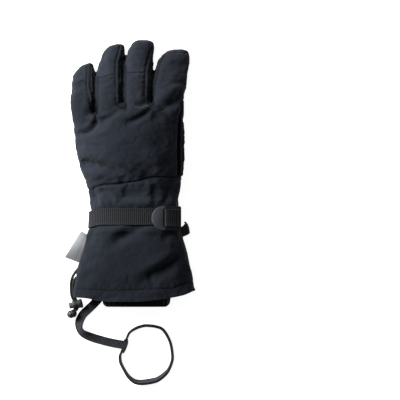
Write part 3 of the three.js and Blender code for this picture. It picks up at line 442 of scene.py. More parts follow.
@dataclass(frozen=True)
class Braid:
    """The braided cover of the drawcord."""

    name: str = "drawcord braid"

    def make(self) -> bpy.types.Material:
        """Makes the material."""
        shader = Shader(self.name)
        uv = shader.node("ShaderNodeTexCoord", {}, {}, "UV")
        along, across, _ = shader.axes(uv)
        one = shader.math("SINE", (along * (2 * math.pi / 0.0022)) + across * (2 * math.pi * 4))
        two = shader.math("SINE", (along * (2 * math.pi / 0.0022)) - across * (2 * math.pi * 4))
        plait = one * two * 0.5 + 0.5
        colour = shader.blend(plait, grey(0.003, 0.1), grey(0.014, 0.12))
        shader.relief(plait, 0.00025, 0.9)
        return shader.finish(colour, 0.65, Sheen_Weight=0.03, Specular_IOR_Level=0.2)


@dataclass(frozen=True)
class Plastic:
    """Moulded plastic with a fine spark-eroded texture and broad paler patches."""

    name: str
    colour: tuple[float, float, float, float]
    rough: float
    grain: float = 0.00004
    dark_from: float = 1.0

    def make(self) -> bpy.types.Material:
        """Makes the material."""
        shader = Shader(self.name)
        point = shader.place()
        broad = shader.cloud(point, 120.0, 3.0)
        grit = shader.cloud(point, 2600.0, 2.0, 0.7)
        lifted = tuple(min(1.0, part * 1.35 + 0.004) for part in self.colour[:3]) + (1.0,)
        shader.relief(grit, self.grain, 0.7)
        colour = shader.blend(shader.clamp(broad * 0.7 + grit * 0.3), self.colour, lifted)
        if self.dark_from < 1.0:
            across, _, _ = shader.axes(point)
            colour = shader.blend(shader.clamp((across - self.dark_from) * 1500.0), colour, grey(0.008, 0.1))
        return shader.finish(colour, self.rough + broad * 0.16 - 0.06, Specular_IOR_Level=0.35)


@dataclass(frozen=True)
class BrushedLabel:
    """The silvery coated cloth of the side label, brushed along its length."""

    name: str = "silver label cloth"

    def make(self) -> bpy.types.Material:
        """Makes the material."""
        shader = Shader(self.name)
        point = shader.place()
        streak = shader.cloud(shader.stretched(point, (1.0, 0.05, 1.0), 0.36), 1500.0, 3.0, 0.7)
        broad = shader.cloud(point, 90.0, 2.0)
        colour = shader.blend(shader.clamp(streak * 0.7 + broad * 0.4 - 0.05), (0.055, 0.059, 0.062, 1.0),
                              (0.145, 0.15, 0.155, 1.0))
        shader.relief(streak, 0.00005, 0.6)
        return shader.finish(colour, 0.42 + streak * 0.2, Metallic=0.35, Specular_IOR_Level=0.5)


@dataclass(frozen=True)
class PaleFloor:
    """A plain pale studio floor."""

    name: str = "pale floor"

    def make(self) -> bpy.types.Material:
        """Makes the material."""
        shader = Shader(self.name)
        return shader.finish((0.62, 0.62, 0.62, 1.0), 0.9, Emission_Color=(1.0, 1.0, 1.0, 1.0),
                             Emission_Strength=0.93, Specular_IOR_Level=0.1)


class Finishes:
    """Every finish of the glove, made once."""

    def __init__(self) -> None:
        """Makes the materials."""
        self.shell = ShellCloth("softshell", 0.0046, 0.0127).make()
        # Painted light: the fingertip panels get a brighter copy of the shell cloth, for the light on the fingertips
        # that curl down towards the key light.
        self.lit_tips = ShellCloth("softshell fingertips", 0.0068, 0.0185).make()
        self.hem = ShellCloth("softshell hem", 0.0045, 0.012).make()
        self.side = StretchCloth().make()
        self.palm = Leather().make()
        self.knit = Knit().make()
        self.webbing = RibbedTape("wrist webbing", 0.0008, 0.0205, 0.0022).make()
        self.tape = RibbedTape("leash tape", 0.003, 0.030, 0.0014).make()
        self.braid = Braid().make()
        self.black = Plastic("black moulded plastic", (0.006, 0.006, 0.007, 1.0), 0.5).make()
        # Painted sheen: the buckle is black plastic, but its crowned thumb tab gets a paler violet-grey colour for the
        # sheen of light on it; past dark_from the frame is black.
        self.tab = Plastic("buckle plastic with painted tab sheen", (0.046, 0.046, 0.057, 1.0), 0.42, dark_from=0.0384).make()
        self.grey = Plastic("grey moulded plastic", (0.045, 0.048, 0.05, 1.0), 0.5).make()
        self.leaf = Plastic("clip leaf plastic", (0.06, 0.063, 0.066, 1.0), 0.5).make()
        self.label = BrushedLabel().make()
        self.floor = PaleFloor().make()


# --- mesh making


def to_row(points: np.ndarray) -> np.ndarray:
    """Turns points in millimetres from the middle of the hem into metres in the frame of the glove."""
    return (np.asarray(points, float) - ORIGIN) * MM


def from_row(points: np.ndarray) -> np.ndarray:
    """Turns points in metres in the frame of the glove into millimetres from the middle of the hem."""
    return np.asarray(points, float) / MM + ORIGIN


def deselect() -> None:
    """Leaves nothing selected."""
    for chosen in list(bpy.context.selected_objects):
        chosen.select_set(False)
    bpy.context.view_layer.objects.active = None


def choose(*chosen: bpy.types.Object) -> None:
    """Selects only these objects, the first as the active one."""
    deselect()
    for one in chosen:
        one.select_set(True)
    bpy.context.view_layer.objects.active = chosen[0]


def new_mesh(name: str, points: np.ndarray, faces: Sequence[Sequence[int]]) -> bpy.types.Object:
    """Makes an object from points in metres and faces.

    Args:
        name: The object's name.
        points: The points.
        faces: The faces as lists of point numbers.

    Returns:
        The object.
    """
    mesh = bpy.data.meshes.new(name)
    mesh.from_pydata([tuple(point) for point in np.asarray(points, float)], [], [tuple(map(int, f)) for f in faces])
    mesh.update()
    made = bpy.data.objects.new(name, mesh)
    bpy.context.scene.collection.objects.link(made)
    return made


def points_of(piece: bpy.types.Object) -> np.ndarray:
    """The points of a mesh as an array."""
    flat = np.zeros(len(piece.data.vertices) * 3)
    piece.data.vertices.foreach_get("co", flat)
    return flat.reshape(-1, 3)


def move_points(piece: bpy.types.Object, points: np.ndarray) -> None:
    """Puts the points of a mesh in new places."""
    piece.data.vertices.foreach_set("co", np.asarray(points, float).ravel())
    piece.data.update()


def normals_of(piece: bpy.types.Object) -> np.ndarray:
    """The vertex normals of a mesh as an array."""
    flat = np.zeros(len(piece.data.vertices) * 3)
    piece.data.vertices.foreach_get("normal", flat)
    return flat.reshape(-1, 3)


def apply_modifier(piece: bpy.types.Object, kind: str, **settings: Any) -> None:
    """Adds a modifier and applies it.

    Args:
        piece: The object.
        kind: The modifier's type.
        settings: The modifier's settings.
    """
    choose(piece)
    modifier = piece.modifiers.new(kind.lower(), kind)
    for name, value in settings.items():
        setattr(modifier, name, value)
    bpy.ops.object.modifier_apply(modifier=modifier.name)


def tidy_normals(piece: bpy.types.Object, merge: float = 1e-6) -> None:
    """Merges doubles and points the faces outwards.

    Args:
        piece: The object.
        merge: How close points are merged, in metres.
    """
    choose(piece)
    bpy.ops.object.mode_set(mode="EDIT")
    bpy.ops.mesh.select_all(action="SELECT")
    bpy.ops.mesh.remove_doubles(threshold=merge)
    bpy.ops.mesh.normals_make_consistent(inside=False)
    bpy.ops.object.mode_set(mode="OBJECT")


def smooth(piece: bpy.types.Object, angle: float | None = None) -> None:
    """Shades a piece smooth, or smooth up to an angle in degrees."""
    choose(piece)
    if angle is None:
        bpy.ops.object.shade_smooth()
    else:
        bpy.ops.object.shade_smooth_by_angle(angle=math.radians(angle))


def loft_faces(rings: int, sides: int, closed: bool, capped: bool = True) -> list[list[int]]:
    """The faces of a loft through rings of points.

    Args:
        rings: How many rings there are.
        sides: How many points a ring has.
        closed: Whether the last ring joins the first.
        capped: Whether an open loft gets a face over each end.

    Returns:
        The faces.
    """
    faces = []
    for ring in range(rings if closed else rings - 1):
        here, there = ring * sides, ((ring + 1) % rings) * sides
        for side in range(sides):
            after = (side + 1) % sides
            faces.append([here + side, here + after, there + after, there + side])
    if capped and not closed:
        faces.append(list(range(sides))[::-1])
        faces.append([(rings - 1) * sides + side for side in range(sides)])
    return faces


def add_uv(piece: bpy.types.Object, values: np.ndarray) -> None:
    """Gives a piece a UV map from one pair of numbers for each point."""
    layer = piece.data.uv_layers.new(name="along")
    corners = np.zeros(len(piece.data.loops), int)
    piece.data.loops.foreach_get("vertex_index", corners)
    layer.data.foreach_set("uv", np.asarray(values, float)[corners].ravel())


def settle(piece: bpy.types.Object, material: bpy.types.Material, slot: Slot, *nodes: str,
           body: Body = Body.GLOVE) -> bpy.types.Object:
    """Dresses a finished piece, hangs it on its body and hides the CAD nodes that it replaces.

    Args:
        piece: The piece.
        material: Its material.
        slot: The record's slot for the piece; not used.
        nodes: The CAD nodes that it replaces.
        body: The body that it rides on.

    Returns:
        The piece.
    """
    piece.data.materials.clear()
    piece.data.materials.append(material)
    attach(piece, body.value)
    if nodes:
        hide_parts(*nodes)
    LOG.info("%s: %d faces", piece.name, len(piece.data.polygons))
    return piece


def through(xs: Sequence[float], ys: Sequence[float], at: np.ndarray) -> np.ndarray:
    """Reads a smooth curve through the points of a table, with no overshoot.

    Args:
        xs: The rising places.
        ys: The values there.
        at: Where it is read.

    Returns:
        The values.
    """
    xs, ys, at = np.asarray(xs, float), np.asarray(ys, float), np.asarray(at, float)
    steps, rises = np.diff(xs), np.diff(ys)
    slopes = rises / steps
    tangent = np.empty_like(ys)
    tangent[0], tangent[-1] = slopes[0], slopes[-1]
    same = slopes[:-1] * slopes[1:] > 0
    low, high = 2 * steps[1:] + steps[:-1], steps[1:] + 2 * steps[:-1]
    safe = np.where(same, slopes[:-1], 1.0), np.where(same, slopes[1:], 1.0)
    tangent[1:-1] = np.where(same, (low + high) / (low / safe[0] + high / safe[1]), 0.0)
    place = np.clip(np.searchsorted(xs, at) - 1, 0, len(xs) - 2)
    share = np.clip((at - xs[place]) / steps[place], 0, 1)
    square, cube = share**2, share**3
    return ((2 * cube - 3 * square + 1) * ys[place] + (cube - 2 * square + share) * steps[place] * tangent[place]
            + (3 * square - 2 * cube) * ys[place + 1] + (cube - square) * steps[place] * tangent[place + 1])


def spline(points: Sequence[Sequence[float]], count: int, closed: bool = False) -> np.ndarray:
    """A smooth line through a few chosen points, evenly spaced along its length.

    Args:
        points: The chosen points, of any number of columns.
        count: How many points the line gets.
        closed: Whether it returns to its start.

    Returns:
        The line's points.
    """
    knots = np.asarray(points, float)
    if closed:
        knots = np.vstack([knots[-1], knots, knots[0], knots[1]])
    else:
        knots = np.vstack([2 * knots[0] - knots[1], knots, 2 * knots[-1] - knots[-2]])
    line = []
    for at in range(1, len(knots) - 2):
        before, start, end, after = knots[at - 1 : at + 3]
        for share in np.linspace(0, 1, 24, endpoint=False):
            line.append(0.5 * (2 * start + (end - before) * share
                               + (2 * before - 5 * start + 4 * end - after) * share**2
                               + (3 * start - before - 3 * end + after) * share**3))
    line.append(knots[-2])
    line = np.array(line)
    gone = np.concatenate([[0], np.cumsum(np.linalg.norm(np.diff(line[:, :3], axis=0), axis=1))])
    at = np.linspace(0, gone[-1], count)
    return np.column_stack([np.interp(at, gone, line[:, column]) for column in range(line.shape[1])])


def evenly(first: float, last: float, step: float) -> np.ndarray:
    """Places from the first to the last, about a step apart."""
    return np.linspace(first, last, max(round((last - first) / step), 2) + 1)


def strap_line(x: np.ndarray) -> np.ndarray:
    """Where the middle of the wrist strap lies along the glove: it droops at the outer edge of the wrist."""
    return STRAP_Y - 3.2 * np.clip((-26.0 - x) / 15.0, 0, 1.2) ** 2


def run_of(line: np.ndarray) -> np.ndarray:
    """How far along a line each of its points lies."""
    return np.concatenate([[0], np.cumsum(np.linalg.norm(np.diff(line, axis=0), axis=1))])


# --- the soft body


@dataclass(frozen=True)
class Row:
    """A cross section: its place along and its edges and thickness, as shares of named sizes."""

    along: float
    left: float
    right: float
    thick: float
    height: float = 0.0


@dataclass(frozen=True)
class Finger:
    """One finger: its sizes in millimetres and its sections from the knuckles to the tip."""

    name: str
    length: float
    width: float
    thickness: float
    rows: tuple[Row, ...]


@dataclass(frozen=True)
class Fold:
    """A crease of the cloth seen from above, in millimetres from the middle of the hem."""

    start: tuple[float, float]
    end: tuple[float, float]
    depth: float
    reach: float
    ridge: float = 0.5
    bow: float = 0.0


FINGERS = (
    Finger("little", 52.7, 26, 26, (
        Row(-0.6, -0.22, 0.42, 0.85), Row(-0.35, -0.32, 0.46, 1.0), Row(-0.15, -0.41, 0.49, 1.06),
        Row(0.06, -0.47, 0.49, 1.05), Row(0.23, -0.5, 0.5, 1.03), Row(0.4, -0.49, 0.5, 1.01),
        Row(0.56, -0.46, 0.5, 1.0), Row(0.69, -0.43, 0.5, 1.0), Row(0.77, -0.37, 0.5, 0.98),
        Row(0.85, -0.25, 0.48, 0.9), Row(0.93, -0.09, 0.43, 0.74), Row(0.98, 0.1, 0.38, 0.5),
        Row(1.0, 0.21, 0.33, 0.3))),
    Finger("ring", 74.2, 30, 28, (
        Row(-0.25, -0.4, 0.4, 0.9), Row(-0.1, -0.46, 0.45, 1.04), Row(0.04, -0.47, 0.48, 1.07),
        Row(0.16, -0.47, 0.49, 1.06), Row(0.28, -0.47, 0.5, 1.04), Row(0.4, -0.48, 0.5, 1.02),
        Row(0.57, -0.46, 0.52, 1.0), Row(0.64, -0.41, 0.53, 1.0), Row(0.73, -0.33, 0.54, 0.98),
        Row(0.81, -0.27, 0.56, 0.95), Row(0.89, -0.18, 0.56, 0.86), Row(0.94, -0.07, 0.55, 0.72),
        Row(0.98, 0.09, 0.52, 0.5), Row(1.0, 0.26, 0.44, 0.3))),
    Finger("middle", 78.4, 31, 29, (
        Row(-0.13, -0.44, 0.42, 0.92), Row(-0.01, -0.46, 0.44, 1.05), Row(0.08, -0.48, 0.45, 1.07),
        Row(0.21, -0.49, 0.46, 1.05), Row(0.32, -0.49, 0.48, 1.03), Row(0.43, -0.49, 0.5, 1.02),
        Row(0.6, -0.48, 0.51, 1.0), Row(0.69, -0.45, 0.51, 1.0), Row(0.76, -0.41, 0.53, 0.98),
        Row(0.83, -0.36, 0.55, 0.94), Row(0.9, -0.29, 0.55, 0.84), Row(0.95, -0.22, 0.54, 0.7),
        Row(0.98, -0.15, 0.48, 0.52), Row(1.0, -0.06, 0.32, 0.3))),
    Finger("index", 68.3, 35, 30, (
        Row(-0.21, -0.46, 0.42, 0.92), Row(-0.05, -0.5, 0.44, 1.04), Row(0.1, -0.5, 0.46, 1.06),
        Row(0.24, -0.5, 0.49, 1.05), Row(0.37, -0.5, 0.52, 1.03), Row(0.5, -0.48, 0.55, 1.02),
        Row(0.63, -0.45, 0.59, 1.0), Row(0.69, -0.41, 0.61, 1.0), Row(0.79, -0.35, 0.63, 0.97),
        Row(0.86, -0.26, 0.63, 0.92), Row(0.92, -0.17, 0.61, 0.8), Row(0.96, -0.09, 0.58, 0.66),
        Row(0.985, 0.0, 0.54, 0.48), Row(1.0, 0.13, 0.44, 0.3))),
)

CUFF_ROWS = (
    Row(-0.06, -0.472, 0.611, 1.03), Row(0.03, -0.467, 0.605, 1.05), Row(0.14, -0.464, 0.581, 1.09),
    Row(0.25, -0.455, 0.559, 1.12), Row(0.36, -0.424, 0.537, 1.14), Row(0.48, -0.388, 0.506, 1.13),
    Row(0.6, -0.354, 0.475, 1.1), Row(0.69, -0.332, 0.446, 0.98), Row(0.78, -0.326, 0.439, 0.97),
    Row(0.88, -0.338, 0.441, 1.0), Row(0.99, -0.361, 0.463, 1.0),
)
PALM_ROWS = (
    Row(0.09, -0.376, 0.473, 1.0), Row(0.19, -0.404, 0.484, 1.02), Row(0.3, -0.43, 0.491, 1.03),
    Row(0.42, -0.45, 0.495, 1.03), Row(0.55, -0.459, 0.498, 1.01), Row(0.68, -0.467, 0.495, 0.98),
    Row(0.8, -0.472, 0.488, 0.96), Row(0.91, -0.48, 0.485, 0.93), Row(0.99, -0.278, 0.483, 0.88),
    Row(1.06, -0.269, 0.483, 0.74), Row(1.1, -0.23, 0.466, 0.5),
)
THUMB_ROWS = (
    Row(0.15, -0.38, 0.42, 0.75, 0.95), Row(0.28, -0.46, 0.52, 1.04, 0.66), Row(0.43, -0.5, 0.52, 1.0, 0.51),
    Row(0.58, -0.54, 0.45, 0.97, 0.49), Row(0.74, -0.63, 0.33, 0.95, 0.48), Row(0.9, -0.73, 0.21, 0.92, 0.47),
    Row(1.02, -0.79, 0.09, 0.84, 0.46), Row(1.1, -0.76, -0.02, 0.66, 0.44), Row(1.14, -0.66, -0.16, 0.4, 0.42),
)
HEM_EDGE = ((-112.5, 3.7), (-47.5, 2.2), (-31.3, -0.9), (-11.3, -1.5), (8.8, -1.6), (26.3, -0.2),
            (45, 2.2), (61.3, 5.5), (75, 11.2), (112.5, 21.1))
FOLDS = (
    Fold((-57.0, 181.5), (-33.0, 197.5), 4.4, 3.6, 1.1, -5.0),
    Fold((-29.5, 195.8), (-11.0, 208.0), 2.8, 3.8, 0.8, -1.2),
    Fold((7.6, 216.7), (18.0, 212.6), 1.8, 3.0, 0.6),
    Fold((0.0, 194.5), (27.0, 211.5), 2.6, 3.4, 0.7, -2.6),
    Fold((33.0, 206.5), (60.0, 226.5), 4.4, 6.2, 1.5, -1.5),
    Fold((-56.0, 151.0), (-4.0, 137.5), 4.6, 5.2, 1.5, 2.6),
    Fold((-39.7, 121.0), (-33.0, 103.4), 3.0, 4.5, 0.6),
    Fold((-33.5, 122.0), (-14.0, 108.0), 0.9, 4.0, 0.4),
    Fold((29.0, 127.0), (27.0, 106.0), 1.0, 6.0, 0.3),
    Fold((44.0, 127.0), (40.0, 106.0), 1.4, 4.0, 0.4),
    Fold((-17.0, 62.0), (15.0, 78.5), 4.6, 6.2, 1.1, 1.5),
    Fold((20.0, 24.0), (57.0, 46.0), 3.4, 6.5, 1.6, -1.5),
    Fold((24.0, 27.0), (29.0, 14.0), 1.0, 3.5, 0.4),
    Fold((-44.0, 62.0), (-37.0, 79.0), 1.4, 4.0, 0.5),
    Fold((40.0, 62.0), (46.0, 79.0), 0.8, 4.0, 0.3),
    Fold((-50.0, 18.0), (-38.0, 34.0), 0.9, 5.0, 0.4),
    Fold((-8.0, 172.0), (22.0, 160.0), 0.8, 9.0, 0.3),
    Fold((30.0, 176.0), (46.0, 158.0), 0.9, 7.0, 0.3),
)


@dataclass
class SoftForm:
    """The padded hand, fingers, thumb and gauntlet: one envelope that is cut into its sewn panels."""

    knuckle_height: float = 50.0
    tip_height: float = 10.8
    hand_thickness: float = 44.0
    arch_drop: float = 8.0
    thumb_width: float = 31.0
    thumb_thickness: float = 26.0
    thumb_middle: float = 37.0
    finger_gap: float = 1.0
    fuller: float = 0.5
    voxel: float = 1.1
    wall: float = 2.2
    lifts: tuple[tuple[float, float, float], ...] = (
        (-0.05, 0.44, 0.0), (0.15, 0.47, 0.0), (0.3, 0.49, 0.0), (0.46, 0.49, 0.0), (0.55, 0.52, 0.0),
        (0.62, 0.6, 0.15), (0.7, 0.72, 0.4), (0.8, 0.86, 0.75), (0.9, 0.96, 0.95), (1.0, 1.0, 1.0),
    )
    middles: list[float] = field(default_factory=list)

    def __post_init__(self) -> None:
        """Lays the fingers side by side."""
        edge = -HAND_WIDTH / 2
        for finger in FINGERS:
            self.middles.append(edge + finger.width / 2)
            edge += finger.width + self.finger_gap

    def rest_height(self, x: np.ndarray, y: np.ndarray) -> np.ndarray:
        """The height of the middle surface, in millimetres.

        Args:
            x: Places across the hand.
            y: Places along it.

        Returns:
            The heights.
        """
        share = np.minimum(y / KNUCKLE_Y, 1)
        along, heights, arches = zip(*self.lifts)
        side = 2 * x / HAND_WIDTH
        height = self.knuckle_height * through(along, heights, share)
        height = height - self.arch_drop * through(along, arches, share) * side**2
        reach = np.interp(x, self.middles, [finger.length for finger in FINGERS])
        curl = np.clip((y - KNUCKLE_Y) / reach, 0, 1)
        curl = curl * curl * (3 - 2 * curl)
        return height + (self.tip_height - height) * curl

    def body_at(self, y: np.ndarray) -> tuple[np.ndarray, np.ndarray, np.ndarray]:
        """The left edge, right edge and thickness of the cuff and the palm, in millimetres."""
        places = [row.along * CUFF_LENGTH for row in CUFF_ROWS]
        places += [CUFF_LENGTH + row.along * PALM_LENGTH for row in PALM_ROWS]
        rows = CUFF_ROWS + PALM_ROWS
        left = through(places, [row.left * HAND_WIDTH for row in rows], y)
        right = through(places, [row.right * HAND_WIDTH for row in rows], y)
        return left, right, through(places, [row.thick * self.hand_thickness for row in rows], y)

    def section(self, y: np.ndarray, left: np.ndarray, right: np.ndarray, thick: np.ndarray, sides: int,
                middle: np.ndarray | None = None, grow: float = 0.0) -> np.ndarray:
        """Rings across the glove.

        Args:
            y: The rings' places along.
            left: Their left edges.
            right: Their right edges.
            thick: Their thicknesses.
            sides: How many points a ring has.
            middle: The height of their middles, or None to follow the middle surface.
            grow: How far the rings are blown out.

        Returns:
            The points, ring by ring.
        """
        turn = np.linspace(0, 2 * math.pi, sides, endpoint=False)
        across, up = (np.sign(f) * np.abs(f) ** (2 / SHARPNESS) for f in (np.cos(turn), np.sin(turn)))
        x = ((left + right) / 2)[:, None] + ((right - left) / 2 + grow)[:, None] * across
        along = np.repeat(y[:, None], sides, axis=1)
        height = self.rest_height(x, along) if middle is None else np.repeat(middle[:, None], sides, axis=1)
        z = np.maximum(height + (thick / 2 + grow)[:, None] * up, 0.0)
        return np.stack([x, along, z], axis=2)

    def tube(self, name: str, rings: np.ndarray) -> bpy.types.Object:
        """A closed tube through rings of points in millimetres."""
        count, sides, _ = rings.shape
        return new_mesh(name, to_row(rings.reshape(-1, 3)), loft_faces(count, sides, False))

    def envelope(self) -> bpy.types.Object:
        """The whole outer surface as one closed mesh of even faces."""
        y = evenly(-7.4, CUFF_LENGTH + 1.1 * PALM_LENGTH, 2.0)
        tubes = [self.tube("soft_form", self.section(y, *self.body_at(y), 132))]
        for finger, middle in zip(FINGERS, self.middles):
            tubes.append(self.tube(finger.name, self.finger_rings(finger, middle)))
        tubes.append(self.tube("thumb", self.thumb_rings()))
        choose(*tubes)
        bpy.ops.object.join()
        form = tubes[0]
        apply_modifier(form, "REMESH", mode="VOXEL", voxel_size=self.voxel * MM)
        apply_modifier(form, "SMOOTH", iterations=7, factor=0.5)
        return form

    def finger_rings(self, finger: Finger, middle: float) -> np.ndarray:
        """The rings of one finger in millimetres."""
        places = [KNUCKLE_Y + row.along * finger.length for row in finger.rows]
        y = evenly(places[0], places[-1], 1.5)
        left, right, thick = (
            through(places, [getattr(row, name) for row in finger.rows], y) for name in ("left", "right", "thick"))
        return self.section(y, middle + left * finger.width, middle + right * finger.width,
                            thick * finger.thickness, 64, grow=self.fuller)

    def thumb_rings(self) -> np.ndarray:
        """The rings of the thumb in millimetres."""
        places = [CUFF_LENGTH + row.along * PALM_LENGTH for row in THUMB_ROWS]
        y = evenly(places[0], places[-1], 1.5)
        left, right, thick, height = (
            through(places, [getattr(row, name) for row in THUMB_ROWS], y)
            for name in ("left", "right", "thick", "height"))
        return self.section(y, self.thumb_middle + left * self.thumb_width,
                            self.thumb_middle + right * self.thumb_width, thick * self.thumb_thickness, 64,
                            height * self.thumb_thickness)


@dataclass
class ClothBlow:
    """A short cloth simulation that blows the cover out between the places where it is held."""

    voxel: float = 3.5
    frames: int = 20
    pressure: float = 4.0
    loosest: float = 0.07
    cap: float = 3.0
    reach: float = 2.6

    def run(self, form: bpy.types.Object, held: Callable[[np.ndarray], np.ndarray]) -> np.ndarray:
        """Blows out a coarse copy and reads its movement at the points of the form.

        Args:
            form: The envelope.
            held: Gives how firmly points are held, from 0 to 1.

        Returns:
            The movement of each point of the form, in metres.
        """
        choose(form)
        bpy.ops.object.duplicate()
        cloth = bpy.context.active_object
        apply_modifier(cloth, "REMESH", mode="VOXEL", voxel_size=self.voxel * MM)
        rest = points_of(cloth)
        group = cloth.vertex_groups.new(name="held")
        for index, weight in enumerate(held(rest)):
            group.add([index], float(max(weight, self.loosest)), "REPLACE")
        choose(cloth)
        modifier = cloth.modifiers.new("cloth", "CLOTH")
        settings = modifier.settings
        settings.quality = 6
        settings.mass = 0.005
        settings.tension_stiffness = settings.compression_stiffness = 15.0
        settings.shear_stiffness = 5.0
        settings.bending_stiffness = 0.01
        settings.use_pressure = True
        settings.uniform_pressure_force = self.pressure
        settings.shrink_min = -0.03
        settings.vertex_group_mass = group.name
        settings.effector_weights.gravity = 0.0
        modifier.point_cache.frame_start = 1
        modifier.point_cache.frame_end = self.frames
        for number in range(1, self.frames + 1):
            bpy.context.scene.frame_set(number)
        bpy.ops.object.modifier_apply(modifier=modifier.name)
        bpy.context.scene.frame_set(1)
        move = points_of(cloth) - rest
        bpy.data.objects.remove(cloth)
        far = np.linalg.norm(move, axis=1)
        move *= np.minimum(1.0, self.cap * MM / np.maximum(far, 1e-9))[:, None]
        LOG.info("cloth: %d points, moved %.2f mm on average", len(rest), far.mean() / MM)
        tree = KDTree(len(rest))
        for index, point in enumerate(rest):
            tree.insert(point, index)
        tree.balance()
        found = [tree.find_n(point, 10) for point in points_of(form)]
        index = np.array([[hit[1] for hit in hits] for hits in found])
        away = np.array([[hit[2] for hit in hits] for hits in found]) / (self.reach * MM)
        weight = np.exp(-(away**2)) + 1e-9
        weight /= weight.sum(axis=1)[:, None]
        return (move[index] * weight[:, :, None]).sum(axis=1)


@dataclass(frozen=True)
class Panel:
    """One sewn panel: its piece name, the CAD node it stands for, its slot and how full it is."""

    name: str
    node: str
    slot: Slot
    fill: float
    puff: float = 0.5


PANELS = (
    Panel("back_cloth", "back_panel", Slot.SOFTSHELL, 0.6, 0.5),
    Panel("little_tip_cloth", "fingertip_little", Slot.SOFTSHELL, 0.7, 0.9),
    Panel("ring_tip_cloth", "fingertip_ring", Slot.SOFTSHELL, 0.7, 0.9),
    Panel("middle_tip_cloth", "fingertip_middle", Slot.SOFTSHELL, 0.7, 0.9),
    Panel("index_tip_cloth", "fingertip_index", Slot.SOFTSHELL, 0.7, 0.5),
    Panel("little_ring_side", "fourchette_little_ring", Slot.SIDE, 0.5, 0.8),
    Panel("ring_middle_side", "fourchette_ring_middle", Slot.SIDE, 0.5, 0.8),
    Panel("middle_index_side", "fourchette_middle_index", Slot.SIDE, 0.5, 0.8),
    Panel("index_side_gusset", "side_gusset", Slot.SIDE, 0.5, 0.7),
    Panel("palm_leather_panel", "palm_panel", Slot.PALM, 0.5, 0.4),
    Panel("little_front", "finger_front_little", Slot.PALM, 0.6, 0.6),
    Panel("ring_front", "finger_front_ring", Slot.PALM, 0.6, 0.6),
    Panel("middle_front", "finger_front_middle", Slot.PALM, 0.6, 0.6),
    Panel("index_front", "finger_front_index", Slot.PALM, 0.6, 0.6),
    Panel("thumb_cover", "thumb_shell", Slot.PALM, 0.6, 0.6),
    Panel("gauntlet_back_cloth", "gauntlet_back", Slot.SOFTSHELL, 0.4, 0.3),
    Panel("gauntlet_palm_cloth", "gauntlet_palm", Slot.PALM, 0.4, 0.3),
    Panel("hem_cloth", "hem_band", Slot.SOFTSHELL, 0.4, 0.5),
)


